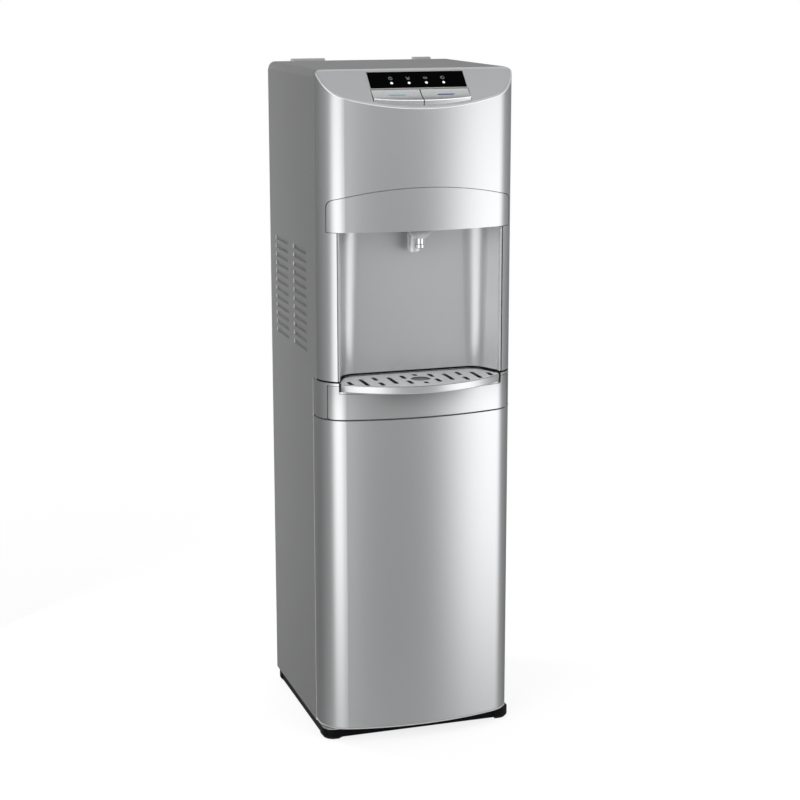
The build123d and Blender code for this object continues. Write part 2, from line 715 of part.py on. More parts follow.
# Alcove liner: flared side walls, rounded into a flat back, with a bead at each front edge
def liner_front_y():
    """Just behind the fascia's inner face, where the liner meets the pillar."""
    corner = CORNER_RADIUS - WALL - FIT
    return CORNER_Y - sqrt(corner ** 2 - (PILLAR_X + LINER_WALL - CORNER_X) ** 2)


def alcove_points(grow):
    """Half opening, back corner and back depth of the alcove's plan, grown outwards."""
    opening = PILLAR_X - 2 * SEAM
    lean = (ALCOVE_CORNER_X - opening) / (ALCOVE_BACK_Y - liner_front_y())
    half = opening + grow * hypot(1, lean)
    back_y = ALCOVE_BACK_Y + grow
    return half, half + lean * (back_y - liner_front_y()), back_y


def alcove_face(rounding, grow):
    half, corner_x, back_y = alcove_points(grow)
    front_y = liner_front_y()
    corners = [(half, front_y), (corner_x, back_y), (-corner_x, back_y), (-half, front_y)]
    face = make_face(Polyline(*corners, close=True))
    return fillet(face.vertices().group_by(Axis.Y)[-1], rounding + grow)


def alcove_space(grow):
    """Space of the alcove: its back corners open out towards the top."""
    foot = Pos(0, 0, FASCIA_LOW) * alcove_face(ALCOVE_ROUND_LOW, grow)
    head = Pos(0, 0, ALCOVE_TOP) * alcove_face(ALCOVE_ROUND_HIGH, grow)
    return loft([foot, head])


def liner_bead():
    """Rounded strip up the pillar's edge, with the tongue that joins it to the wall."""
    half = alcove_points(0)[0]
    joint_y = liner_front_y()
    low_x = half - BEAD_WIDTH
    high_z = APRON_LOW - SEAM
    strip = block((low_x, front_surface_y(half) + BEAD_FRONT, FASCIA_LOW), (half, joint_y, high_z))
    tongue = block((low_x, joint_y, FASCIA_LOW), (half + SEAM, joint_y + WALL, high_z))
    bead = strip + tongue
    return fillet(bead.edges().filter_by(Axis.Z).group_by(Axis.Y)[0], BEAD_ROUND)


def alcove_liner():
    shell = alcove_space(LINER_WALL) - alcove_space(0)
    ceiling = upright(alcove_face(ALCOVE_ROUND_HIGH, LINER_WALL), ALCOVE_TOP, CEILING_HIGH)
    spout = upright_rod(MANIFOLD_WIDTH / 2 - WALL, (0, SPOUT_Y), FASCIA_LOW, BODY_HEIGHT)
    return shell + ceiling + both_sides(liner_bead()) - spout


# Apron: the arched panel over the alcove
def apron_face(clearance):
    """Front view of the apron: straight sides, rounded shoulders, arched top."""
    half = SEAM_X - clearance
    low = APRON_LOW + clearance
    crown = APRON_LOW + APRON_RISE - clearance
    shoulder = APRON_LOW + APRON_SIDE - clearance
    face = make_face([
        Line((-half, low), (half, low)),
        Line((half, low), (half, shoulder)),
        ThreePointArc((half, shoulder), (0, crown), (-half, shoulder)),
        Line((-half, shoulder), (-half, low)),
    ])
    return fillet(face.vertices().group_by(Axis.Y)[-1], APRON_ROUND)


def apron_panel():
    wall = skin(0, WALL, FASCIA_LOW, BODY_HEIGHT, DOOR_EDGE_Y)
    return wall & elevation(apron_face(SEAM), -BEYOND, UPPER_SEAM_Y)


# Upper fascia: one moulded shell with two pillars and the sloped deck
def deck_plane():
    rise = radians(DECK_ANGLE)
    front_z = BODY_HEIGHT - UPPER_WRAP * tan(rise)
    return Plane(origin=(0, FRONT_Y, front_z), x_dir=(1, 0, 0), z_dir=(0, -sin(rise), cos(rise)))


def deck_length():
    return UPPER_WRAP / cos(radians(DECK_ANGLE))


def deck_block(across, along, out):
    """Box on the deck: its spans across, up the slope and out of it."""
    return deck_plane() * block((across[0], along[0], out[0]), (across[1], along[1], out[1]))


def sunk(shape, depth):
    """Shape moved into the deck, square to the slope."""
    return Pos(*(deck_plane().z_dir * -depth)) * shape


def below_deck(depth):
    """Everything under the deck's surface, by a depth."""
    return deck_block((-BEYOND, BEYOND), (-BEYOND, BEYOND), (-BEYOND, -depth))


def upper_block(inset, top_inset):
    """Solid of the upper front, cut by the slope and the rolled top edges."""
    body = column(inset, FASCIA_LOW, PANEL_TOP, SHELL_REAR_Y)
    head = column(inset, PANEL_TOP, BODY_HEIGHT, SHELL_REAR_Y)
    head = head & elevation(top_section(top_inset), -BEYOND, SHELL_REAR_Y)
    return (body + head) & below_deck(top_inset)


def deck_prism(inset):
    """Upright prism of the front outline that runs through the deck."""
    return column(inset, FASCIA_LOW, 2 * BODY_HEIGHT, SHELL_REAR_Y)


def key_way(clearance):
    """Well of the two keys: upright front wall, square to the slope behind."""
    half = KEYS_WIDTH / 2 + clearance
    well = deck_block((-half, half), (-BEYOND, key_back() + clearance), (-BOARD_DEPTH, BOARD_DEPTH))
    return well & deck_prism(KEY_SETBACK - clearance)


def board_boss(x, s):
    """Screw boss between the deck and the circuit board."""
    length = BOARD_DEPTH - DECK_INSERT
    pin = Cylinder(BOSS_RADIUS, length, align=(Align.CENTER, Align.CENTER, Align.MAX))
    return sunk(deck_plane() * Pos(x, s, 0) * pin, DECK_INSERT)


def deck_rim(shell):
    """Edges where the slope meets the front and the sides."""
    rear_y = UPPER_SEAM_Y - FIT - SEAM
    edges = [edge for edge in shell.edges() if edge.center().Y < rear_y]
    return [edge for edge in edges if abs(deck_plane().to_local_coords(edge.center()).Z) < FIT]


def upper_fascia():
    outer = upper_block(0, 0) & before(UPPER_SEAM_Y - FIT)
    shell = fillet(deck_rim(outer), RIM_ROUND) - upper_block(WALL, DECK_PLATE)
    pocket = (deck_prism(DECK_RIM) - below_deck(DECK_INSERT)) & before(UPPER_SEAM_Y - DECK_RIM)
    half = DISPLAY_WIDTH / 2 - 3 * BOSS_RADIUS
    low, high = display_span()
    rows = (low + 2 * BOSS_RADIUS, high - 2 * BOSS_RADIUS)
    bosses = [board_boss(sign * half, s) for sign in (-1, 1) for s in rows]
    alcove = block((-PILLAR_X, -BEYOND, 0), (PILLAR_X, BEYOND, APRON_LOW + SEAM))
    apron = elevation(apron_face(0), -BEYOND, UPPER_SEAM_Y)
    return shell - pocket - alcove - apron - key_way(KEY_GAP) + bosses


# Control panel: a thin plate let into the deck, with the display in its frame
def display_span():
    """Lower and upper edge of the display, measured up the slope."""
    high = deck_length() - DISPLAY_MARGIN - DECK_RIM - DISPLAY_FRAME
    return high - DISPLAY_LENGTH, high


def control_panel():
    plate = (deck_prism(DECK_RIM + FIT) & below_deck(0)) - below_deck(DECK_INSERT)
    plate = plate & before(UPPER_SEAM_Y - DECK_RIM - FIT)
    half = DISPLAY_WIDTH / 2
    low, high = display_span()
    across = (-half - DISPLAY_FRAME, half + DISPLAY_FRAME)
    along = (low - DISPLAY_FRAME, high + DISPLAY_FRAME)
    frame = deck_block(across, along, (-DECK_INSERT, DISPLAY_FRAME_RISE))
    glass = deck_block((-half - FIT, half + FIT), (low - FIT, high + FIT), (-DISPLAY_GLASS, BOARD_DEPTH))
    return plate + frame - glass - key_way(KEY_GAP)


def lens_places():
    start = -LENS_PITCH * (LENS_COUNT - 1) / 2
    return [(start + lens * LENS_PITCH, display_span()[0] + LENS_ROW) for lens in range(LENS_COUNT)]


def lens(place, radius):
    disc = Cylinder(radius, DISPLAY_GLASS, align=(Align.CENTER, Align.CENTER, Align.MAX))
    return deck_plane() * Pos(*place, 0) * disc


def display_window():
    half = DISPLAY_WIDTH / 2
    glass = deck_block((-half, half), display_span(), (-DISPLAY_GLASS, 0))
    return glass - [lens(place, LENS_RADIUS + TIGHT) for place in lens_places()]


def indicator_lenses():
    return [lens(place, LENS_RADIUS) for place in lens_places()]


# Two dispensing keys: dished tops that rise to a nose, upright fronts
def key_back():
    """Rear edge of the keys, measured up the slope."""
    return display_span()[0] - DISPLAY_FRAME - KEY_GAP - SEAM


def key_bank():
    """Both keys in one: the side profile carried across, cut by the front."""
    nose_s = key_back() - KEY_LENGTH + KEY_NOSE
    front_s = nose_s - KEY_LENGTH
    middle = ((key_back() + nose_s) / 2, KEY_NOSE / 2 - KEY_DISH)
    profile = make_face([
        ThreePointArc((key_back(), 0), middle, (nose_s, KEY_NOSE)),
        Line((nose_s, KEY_NOSE), (front_s, KEY_NOSE)),
        Line((front_s, KEY_NOSE), (front_s, -KEY_DEPTH)),
        Line((front_s, -KEY_DEPTH), (key_back(), -KEY_DEPTH)),
        Line((key_back(), -KEY_DEPTH), (key_back(), 0)),
    ])
    side = Plane(origin=(-KEYS_WIDTH / 2, 0, 0), x_dir=(0, 1, 0), z_dir=(1, 0, 0))
    bank = deck_plane() * extrude(side * profile, amount=KEYS_WIDTH, dir=(1, 0, 0))
    return bank & deck_prism(KEY_SETBACK)


def key(sign):
    """One key and its colour stripe."""
    half = KEYS_WIDTH / 2
    ends = sorted((sign * KEY_SPLIT / 2, sign * half))
    body = key_bank() & deck_block(ends, (-BEYOND, BEYOND), (-BEYOND, BEYOND))
    front = body.faces().sort_by(Axis.Y)[0]
    body = fillet(front.edges().sort_by(Axis.Z)[-1], KEY_NOSE_ROUND)
    middle = sign * (half + KEY_SPLIT / 2) / 2
    across = (middle - STRIPE_LENGTH / 2, middle + STRIPE_LENGTH / 2)
    s = key_back() - STRIPE_BACK
    along = (s - STRIPE_WIDTH / 2, s + STRIPE_WIDTH / 2)
    inlay = deck_block(across, along, (-KEY_DEPTH, KEY_DEPTH))
    stripe = inlay & (body - sunk(body, STRIPE_DEPTH))
    return body - stripe, stripe


# Circuit board under the deck, with a switch under each key
def control_board():
    half = DISPLAY_WIDTH / 2 - BOARD_MARGIN
    low = key_back() - KEY_LENGTH + 2 * BOARD_MARGIN
    out = (-BOARD_DEPTH - BOARD_THICKNESS, -BOARD_DEPTH)
    return deck_block((-half, half), (low, display_span()[1]), out)


def key_switches():
    out = (-BOARD_DEPTH, -KEY_DEPTH - KEY_TRAVEL - FIT)
    s = key_back() - KEY_LENGTH / 2
    side = SWITCH_SIDE / 2
    middle = (KEYS_WIDTH + KEY_SPLIT) / 4
    return [deck_block((x - side, x + side), (s - side, s + side), out) for x in (-middle, middle)]


# Spout: bowl under the alcove's ceiling, nozzle, and a curved guard behind it
def spout_hood():
    low = ALCOVE_TOP - HOOD_DEPTH
    bulge = ((HOOD_MOUTH + HOOD_RADIUS) / 2 + HOOD_BULGE, (low + ALCOVE_TOP) / 2 - HOOD_BULGE)
    profile = make_face([
        Line((0, low), (HOOD_MOUTH, low)),
        ThreePointArc((HOOD_MOUTH, low), bulge, (HOOD_RADIUS, ALCOVE_TOP)),
        Line((HOOD_RADIUS, ALCOVE_TOP), (0, ALCOVE_TOP)),
        Line((0, ALCOVE_TOP), (0, low)),
    ])
    bowl = Pos(0, SPOUT_Y, 0) * revolve(Plane.XZ * profile, Axis.Z)
    half = MANIFOLD_WIDTH / 2
    neck = upright_rod(half - WALL - FIT, (0, SPOUT_Y), ALCOVE_TOP, CEILING_HIGH)
    manifold = upright(Pos(0, SPOUT_Y) * Rectangle(2 * half, 2 * half), CEILING_HIGH,
                       CEILING_HIGH + MANIFOLD_HEIGHT)
    bore = upright_rod(NOZZLE_RADIUS + TIGHT, (0, SPOUT_Y), low, CEILING_HIGH)
    return bowl + neck + manifold - bore


def spout_nozzle():
    low = ALCOVE_TOP - HOOD_DEPTH - NOZZLE_LENGTH
    ring = NOZZLE_RADIUS + NOZZLE_COLLAR
    ring_top = low + NOZZLE_COLLAR_HEIGHT
    profile = make_face(Polyline(
        (NOZZLE_BORE, low), (ring - SEAM, low), (ring, low + SEAM), (ring, ring_top),
        (NOZZLE_RADIUS, ring_top + SEAM), (NOZZLE_RADIUS, CEILING_HIGH), (NOZZLE_BORE, CEILING_HIGH),
        close=True))
    return Pos(0, SPOUT_Y, 0) * revolve(Plane.XZ * profile, Axis.Z)


def splash_guard():
    inner = GUARD_RADIUS - GUARD_WALL
    y = SPOUT_Y + sqrt(HOOD_RADIUS ** 2 - inner ** 2) + SEAM
    low = ALCOVE_TOP - GUARD_LENGTH
    half_tube = upright(Pos(0, y) * (Circle(GUARD_RADIUS) - Circle(inner)), low, ALCOVE_TOP) - before(y)
    straight = Rectangle(2 * GUARD_RADIUS, GUARD_LENGTH - GUARD_RADIUS, align=UPWARDS)
    tongue = Pos(0, low + GUARD_RADIUS) * (straight + Circle(GUARD_RADIUS))
    return half_tube & elevation(tongue, -BEYOND, BEYOND)


def valve(sign):
    """Solenoid valve against the side of the spout's manifold."""
    middle = sign * (MANIFOLD_WIDTH + VALVE_BODY) / 2
    high = CEILING_HIGH + MANIFOLD_HEIGHT
    body = upright(Pos(middle, SPOUT_Y) * Rectangle(VALVE_BODY, VALVE_BODY), CEILING_HIGH, high)
    return body + upright_rod(VALVE_COIL_RADIUS, (middle, SPOUT_Y), high, high + VALVE_COIL_HEIGHT)


# Door: curved skin over a moulded inner tray, on two pins at the right-hand corner
def hinge_axis():
    """Hinge line in plan, inside the rounded corner of the door."""
    y = CORNER_Y - CORNER_RADIUS + HINGE_INSET + HINGE_SETBACK
    reach = CORNER_RADIUS - HINGE_INSET
    return CORNER_X + sqrt(reach ** 2 - (CORNER_Y - y) ** 2), y


def hinge_spans():
    """Heights of the two bushes."""
    return [(DOOR_LOW, DOOR_LOW + PIN_LENGTH), (DOOR_HIGH - PIN_LENGTH, DOOR_HIGH)]


def hinge_bars(radius):
    return [upright_rod(radius, hinge_axis(), low, high) for low, high in hinge_spans()]


def door_skin():
    return skin(0, DOOR_SKIN, DOOR_LOW + HEM_HEIGHT, DOOR_HIGH, DOOR_EDGE_Y)


def door_inner():
    wall = skin(DOOR_DEPTH - DOOR_PLATE, DOOR_DEPTH, DOOR_LOW, DOOR_HIGH, DOOR_EDGE_Y)
    ring = skin(DOOR_SKIN, DOOR_DEPTH, DOOR_LOW, DOOR_HIGH, DOOR_EDGE_Y)
    middle = (DOOR_LOW + DOOR_HIGH - DOOR_PLATE) / 2
    plates = [ring & layer(z, z + DOOR_PLATE) for z in (DOOR_LOW, middle, DOOR_HIGH - DOOR_PLATE)]
    edges = ring - before(DOOR_EDGE_Y - DOOR_PLATE)
    hem = skin(0, DOOR_DEPTH, DOOR_LOW, DOOR_LOW + HEM_HEIGHT - HEM_GAP, DOOR_EDGE_Y)
    seats = [bar & ring for bar in hinge_bars(PIN_RADIUS + 2 * BUSH_WALL + FIT)]
    return wall + plates + edges + hem + seats - hinge_bars(PIN_RADIUS + BUSH_WALL)


def hinge_bushes():
    bores = hinge_bars(PIN_RADIUS + PIN_CLEARANCE)
    return [tube - bore for tube, bore in zip(hinge_bars(PIN_RADIUS + BUSH_WALL), bores)]


def bracket_plate(low, high):
    x, y = hinge_axis()
    half = BRACKET_WIDTH / 2
    plan = RectangleRounded(BRACKET_LENGTH, BRACKET_WIDTH, half - SHEET)
    return upright(Pos(x - BRACKET_LENGTH / 2 + half, y) * plan, low, high)


def lower_hinge():
    pin = upright_rod(PIN_RADIUS, hinge_axis(), FLOOR_HIGH, DOOR_LOW + PIN_LENGTH - SHEET)
    return bracket_plate(BASE_HEIGHT, FLOOR_HIGH) + pin


def upper_hinge():
    low = COLLAR_LOW - BRACKET_THICKNESS
    pin = upright_rod(PIN_RADIUS, hinge_axis(), DOOR_HIGH - PIN_LENGTH + SHEET, low)
    return bracket_plate(low, COLLAR_LOW) + pin


# Magnetic catch under the collar and its strike plate on the door
def catch_place(depth, z):
    """Place square to the door's inner face at the catch."""
    x = MAGNET_INSET - HALF
    angle = atan2(-sqrt(FRONT_RADIUS ** 2 - x ** 2), x)
    radius = FRONT_RADIUS - DOOR_DEPTH - depth
    turn = degrees(atan2(x, FRONT_RADIUS))
    return Location((radius * cos(angle), ARC_Y + radius * sin(angle), z), (0, 0, turn))


def strike_plate():
    plate = Box(MAGNET_WIDTH, 2 * STRIKE_THICKNESS, MAGNET_HEIGHT - WALL)
    z = COLLAR_LOW - WALL - MAGNET_HEIGHT / 2
    return (catch_place(0, z) * plate) & column(DOOR_DEPTH + TIGHT, 0, BODY_HEIGHT, REAR_Y)


def magnet_catch():
    body = Box(MAGNET_WIDTH, MAGNET_DEPTH, MAGNET_HEIGHT)
    depth = STRIKE_THICKNESS + FIT + MAGNET_DEPTH / 2
    return catch_place(depth, COLLAR_LOW - MAGNET_HEIGHT / 2) * body


# Compressor deck, compressor and what stands beside it
def cross_shelf(near_y, low):
    """Sheet shelf across the cabinet with a turned-up flange at each side."""
    half = INNER_HALF - FIT
    far_y = REAR_WALL_Y - FIT
    sheet = block((-half, near_y, low), (half, far_y, low + SHEET))
    flange = block((half - SHEET, near_y, low), (half, far_y, low + DECK_FLANGE))
    return sheet + both_sides(flange)


def pump_place():
    return INNER_HALF - PUMP_SIDE_GAP - PUMP_RADIUS, COLLAR_REAR_Y + PUMP_FRONT_GAP + PUMP_RADIUS


def compressor_place():
    return COMPRESSOR_X, REAR_WALL_Y - COMPRESSOR_REAR_GAP - COMPRESSOR_RADIUS


def module_place():
    x = INNER_HALF - MODULE_SIDE_GAP - MODULE_WIDTH / 2
    return -x, REAR_WALL_Y - MODULE_REAR_GAP - MODULE_LENGTH / 2


def compressor_deck():
    hole = upright_rod(SPIGOT_RADIUS + FIT, pump_place(), COLLAR_LOW - WALL, DECK_HIGH + WALL)
    return cross_shelf(COLLAR_REAR_Y, COLLAR_LOW) - hole


def compressor_grommets():
    x, y = compressor_place()
    dx = COMPRESSOR_FOOT_LENGTH / 2 - GROMMET_INSET
    dy = COMPRESSOR_FOOT_WIDTH / 2 - GROMMET_INSET
    places = [(x + a * dx, y + b * dy) for a in (-1, 1) for b in (-1, 1)]
    return [upright_rod(GROMMET_RADIUS, place, DECK_HIGH, DECK_HIGH + GROMMET_HEIGHT) for place in places]


def compressor():
    place = Pos(*compressor_place(), DECK_HIGH + GROMMET_HEIGHT)
    foot = RectangleRounded(COMPRESSOR_FOOT_LENGTH, COMPRESSOR_FOOT_WIDTH, GROMMET_RADIUS)
    shell = Cylinder(COMPRESSOR_RADIUS, COMPRESSOR_HEIGHT, align=ON_TOP)
    shell = fillet(shell.edges().group_by(Axis.Z)[-1], COMPRESSOR_DOME)
    return place * (upright(foot, 0, COMPRESSOR_FOOT) + Pos(0, 0, COMPRESSOR_FOOT) * shell)


def relay_cover():
    x, y = compressor_place()
    half = RELAY_SIZE / 2
    middle = DECK_HIGH + GROMMET_HEIGHT + COMPRESSOR_FOOT + COMPRESSOR_HEIGHT / 2
    near = y - COMPRESSOR_RADIUS - RELAY_REACH
    box = block((x - half, near, middle - half), (x + half, y, middle + half))
    return box - upright_rod(COMPRESSOR_RADIUS + FIT, (x, y), middle - RELAY_SIZE, middle + RELAY_SIZE)


def filter_drier():
    shoulder = DRIER_STUB + DRIER_CONE
    profile = make_face(Polyline(
        (0, 0), (DRIER_PIPE, 0), (DRIER_PIPE, DRIER_STUB), (DRIER_RADIUS, shoulder),
        (DRIER_RADIUS, DRIER_HEIGHT - shoulder), (DRIER_PIPE, DRIER_HEIGHT - DRIER_STUB),
        (DRIER_PIPE, DRIER_HEIGHT), (0, DRIER_HEIGHT), close=True))
    place = Pos(INNER_HALF - DRIER_SIDE_GAP, REAR_WALL_Y - DRIER_REAR_GAP, DECK_HIGH)
    return place * revolve(Plane.XZ * profile, Axis.Z)


def power_module():
    plan = Pos(*module_place()) * RectangleRounded(MODULE_WIDTH, MODULE_LENGTH, WALL)
    return upright(plan, DECK_HIGH, DECK_HIGH + MODULE_HEIGHT)


def water_pump():
    """Pump head with a narrower motor on it and a spigot through the deck."""
    head = upright_rod(PUMP_RADIUS, pump_place(), DECK_HIGH, DECK_HIGH + PUMP_HEAD)
    motor = upright_rod(PUMP_RADIUS - WALL, pump_place(), DECK_HIGH, DECK_HIGH + PUMP_HEIGHT)
    spigot = upright_rod(SPIGOT_RADIUS, pump_place(), DECK_HIGH - SPIGOT_LENGTH, DECK_HIGH + PUMP_HEAD)
    return head + motor + spigot


# Cold tank in its foam jacket on a shelf, wound with the evaporator tube
def tank_shelf():
    return cross_shelf(ALCOVE_BACK_Y + LINER_WALL + FIT, SHELF_LOW)


def jacket_bore():
    return TANK_RADIUS + 2 * COIL_TUBE + 3 * FIT


def tank_place():
    return 0, REAR_WALL_Y - TANK_REAR_GAP - INSULATION - jacket_bore()


def cold_tank():
    tank = Pos(*tank_place(), TANK_LOW) * Cylinder(TANK_RADIUS, TANK_HEIGHT, align=ON_TOP)
    return fillet(tank.edges().group_by(Axis.Z)[0], TANK_ROUND)


def tank_insulation():
    side = 2 * (jacket_bore() + INSULATION)
    high = TANK_LOW + TANK_HEIGHT
    plan = Pos(*tank_place()) * RectangleRounded(side, side, INSULATION)
    space = upright_rod(jacket_bore(), tank_place(), TANK_LOW, high + FIT)
    return upright(plan, SHELF_LOW + SHEET, high + TANK_LIFT) - space


def evaporator_coil():
    """Tube wound round the tank in half turns, each of which climbs half a pitch."""
    radius = TANK_RADIUS + COIL_TUBE + FIT
    climb = COIL_PITCH / 2
    edges = []
    for half_turn in range(2 * COIL_TURNS):
        end = radius if half_turn % 2 == 0 else -radius
        z = half_turn * climb
        edges.append(ThreePointArc((end, 0, z), (0, end, z + climb / 2), (-end, 0, z + climb)))
    path = Wire(edges)
    tube = sweep(Plane(origin=path @ 0, z_dir=path % 0) * Circle(COIL_TUBE), path=path)
    return Pos(*tank_place(), TANK_LOW + (TANK_HEIGHT - COIL_TURNS * COIL_PITCH) / 2) * tube


# Bottle probe, parked in a clip in the rear corner of the bay
def probe_place():
    return INNER_HALF - PROBE_SIDE_GAP, REAR_WALL_Y - PROBE_REAR_GAP


def probe_span():
    """Heights of the probe's ends: it is as long as the bay's bottles are deep."""
    return FLOOR_HIGH + PROBE_LIFT, COLLAR_LOW - PROBE_TOP_GAP


def clip_height():
    return sum(probe_span()) / 2


def probe_clip():
    x, y = probe_place()
    z = clip_height()
    half = PROBE_RADIUS + FIT + PROBE_CLIP_WALL
    mouth = PROBE_CLIP_MOUTH / 2
    arm = block((x - half, y - half, z - WALL), (INNER_HALF - FIT, y + half, z + WALL))
    bore = upright_rod(PROBE_RADIUS + FIT, (x, y), z - 2 * WALL, z + 2 * WALL)
    return arm - bore - block((x - 2 * half, y - mouth, z - 2 * WALL), (x, y + mouth, z + 2 * WALL))


def bottle_probe():
    tube = upright_rod(PROBE_RADIUS, probe_place(), *probe_span())
    return tube - upright_rod(PROBE_RADIUS - SHEET, probe_place(), *probe_span())


def probe_cap():
    low = clip_height() + WALL
    high = low + PROBE_CAP_HEIGHT
    cap = upright_rod(PROBE_CAP_RADIUS, probe_place(), low, high)
    return cap - upright_rod(PROBE_RADIUS + TIGHT, probe_place(), low, high)


left_key, left_stripe = key(-1)
right_key, right_stripe = key(1)
right_panel = side_panel()
left_clip_x = LEFT_CLIP_INSET + LEFT_CLIP_WIDTH / 2 - HALF
right_clip_x = HALF - RIGHT_CLIP_INSET - RIGHT_CLIP_WIDTH / 2

nodes = {
    "base_frame": base_frame(),
    "foot_pads": foot_pads(),
    "bay_floor": bay_floor(),
    "side_panel_left": mirror(right_panel, Plane.YZ),
    "side_panel_right": right_panel,
    "top_panel": top_panel(),
    "rear_panel": rear_panel(),
    "rear_clip_left": rear_clip(left_clip_x, LEFT_CLIP_WIDTH),
    "rear_clip_right": rear_clip(right_clip_x, RIGHT_CLIP_WIDTH),
    "rear_screws": rear_screws(),
    "cord_gland": cord_gland(),
    "drain_plug": drain_plug(),
    "condenser_coil": condenser_coil(),
    "condenser_wires": condenser_wires(),
    "condenser_posts": condenser_posts(),
    "lower_collar": lower_collar(),
    "tray_bezel": tray_bezel(),
    "joint_gasket": joint_gasket(),
    "drip_tray": drip_tray(),
    "drip_grille": drip_grille(),
    "spill_sieve": spill_sieve(),
    "alcove_liner": alcove_liner(),
    "apron_panel": apron_panel(),
    "upper_fascia": upper_fascia(),
    "control_panel": control_panel(),
    "display_window": display_window(),
    "indicator_lenses": indicator_lenses(),
    "key_left": left_key,
    "key_left_stripe": left_stripe,
    "key_right": right_key,
    "key_right_stripe": right_stripe,
    "control_board": control_board(),
    "key_switches": key_switches(),
    "spout_hood": spout_hood(),
    "spout_nozzle": spout_nozzle(),
    "splash_guard": splash_guard(),
    "cold_valve": valve(-1),
    "ambient_valve": valve(1),
    "door_skin": door_skin(),
    "door_inner": door_inner(),
    "hinge_bushes": hinge_bushes(),
    "lower_hinge": lower_hinge(),
    "upper_hinge": upper_hinge(),
    "strike_plate": strike_plate(),
    "magnet_catch": magnet_catch(),
    "compressor_deck": compressor_deck(),
    "compressor_grommets": compressor_grommets(),
    "compressor": compressor(),
    "relay_cover": relay_cover(),
    "filter_drier": filter_drier(),
    "power_module": power_module(),
    "water_pump": water_pump(),
    "tank_shelf": tank_shelf(),
    "cold_tank": cold_tank(),
    "tank_insulation": tank_insulation(),
    "evaporator_coil": evaporator_coil(),
    "probe_clip": probe_clip(),
    "bottle_probe": bottle_probe(),
    "probe_cap": probe_cap(),
}

os.makedirs("parts", exist_ok=True)
for name, shape in nodes.items():
    solids = shape if isinstance(shape, list) else [shape]
    export_step(Compound(children=solids) if len(solids) > 1 else solids[0], f"parts/{name}.step")
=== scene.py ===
import math

import bmesh
import bpy
from mathutils import Matrix, Vector


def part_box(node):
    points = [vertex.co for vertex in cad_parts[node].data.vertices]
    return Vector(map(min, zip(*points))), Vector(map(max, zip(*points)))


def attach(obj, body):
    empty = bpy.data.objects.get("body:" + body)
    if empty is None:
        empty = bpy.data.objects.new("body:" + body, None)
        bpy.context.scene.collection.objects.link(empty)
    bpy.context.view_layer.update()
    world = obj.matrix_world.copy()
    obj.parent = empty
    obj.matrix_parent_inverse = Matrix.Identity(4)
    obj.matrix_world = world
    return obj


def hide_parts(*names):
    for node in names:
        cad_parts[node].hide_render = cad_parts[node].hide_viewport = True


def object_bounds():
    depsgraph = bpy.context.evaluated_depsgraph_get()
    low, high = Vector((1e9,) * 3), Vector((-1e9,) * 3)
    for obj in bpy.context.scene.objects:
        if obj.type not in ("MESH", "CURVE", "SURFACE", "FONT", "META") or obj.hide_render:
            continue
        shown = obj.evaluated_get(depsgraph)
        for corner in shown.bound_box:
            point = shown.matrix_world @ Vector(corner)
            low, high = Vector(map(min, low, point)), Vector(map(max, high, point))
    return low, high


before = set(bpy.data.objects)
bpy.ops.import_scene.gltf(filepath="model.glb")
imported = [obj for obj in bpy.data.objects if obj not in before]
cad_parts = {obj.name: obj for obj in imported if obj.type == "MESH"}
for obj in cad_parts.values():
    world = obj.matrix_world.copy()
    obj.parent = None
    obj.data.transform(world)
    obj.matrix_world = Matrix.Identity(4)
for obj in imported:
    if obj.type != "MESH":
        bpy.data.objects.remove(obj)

cad_low, cad_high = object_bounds()


# Base: a black injection-moulded ring with four rounded corner feet, which carries the cabinet.
# The soft rubber pads are pressed into the undersides of the feet.
def surface_effect(name):
    """Empty shader node group for a finish, with its group input and its group output."""
    group = bpy.data.node_groups.new(name, "ShaderNodeTree")
    for label, kind in (("Colour", "NodeSocketColor"), ("Roughness", "NodeSocketFloat")):
        for way in ("INPUT", "OUTPUT"):
            group.interface.new_socket(label, in_out=way, socket_type=kind)
    group.interface.new_socket("Height", in_out="OUTPUT", socket_type="NodeSocketFloat")
    return group, group.nodes.new("NodeGroupInput"), group.nodes.new("NodeGroupOutput")


def noise_of(tree, scale, detail):
    """Noise by the place on the piece itself."""
    place = tree.nodes.new("ShaderNodeTexCoord")
    noise = tree.nodes.new("ShaderNodeTexNoise")
    noise.inputs["Scale"].default_value = scale
    noise.inputs["Detail"].default_value = detail
    tree.links.new(place.outputs["Object"], noise.inputs["Vector"])
    return noise.outputs["Fac"]


def remap(tree, value, low=0.0, high=1.0, start=0.0, end=1.0, smooth=False):
    """A value that runs from start to end, spread from low to high and held there beyond."""
    node = tree.nodes.new("ShaderNodeMapRange")
    if smooth:
        node.interpolation_type = "SMOOTHSTEP"
    for label, number in (("From Min", start), ("From Max", end), ("To Min", low), ("To Max", high)):
        node.inputs[label].default_value = number
    tree.links.new(value, node.inputs["Value"])
    return node.outputs["Result"]


def combine(tree, operation, first, second=0.0):
    """One step of arithmetic on two values, each of them a socket or a number."""
    node = tree.nodes.new("ShaderNodeMath")
    node.operation = operation
    for socket, value in zip(node.inputs, (first, second)):
        if isinstance(value, bpy.types.NodeSocket):
            tree.links.new(value, socket)
        else:
            socket.default_value = value
    return node.outputs["Value"]


def hand_out(group, given, made, tone, spread, height):
    """Puts out the given colour times a tone, the given roughness times a spread, and a relief."""
    colour = group.nodes.new("ShaderNodeVectorMath")
    colour.operation = "SCALE"
    group.links.new(given.outputs["Colour"], colour.inputs[0])
    group.links.new(tone, colour.inputs["Scale"])
    gloss = combine(group, "MULTIPLY", given.outputs["Roughness"], spread)
    group.links.new(colour.outputs["Vector"], made.inputs["Colour"])
    group.links.new(gloss, made.inputs["Roughness"])
    group.links.new(height, made.inputs["Height"])
    return group


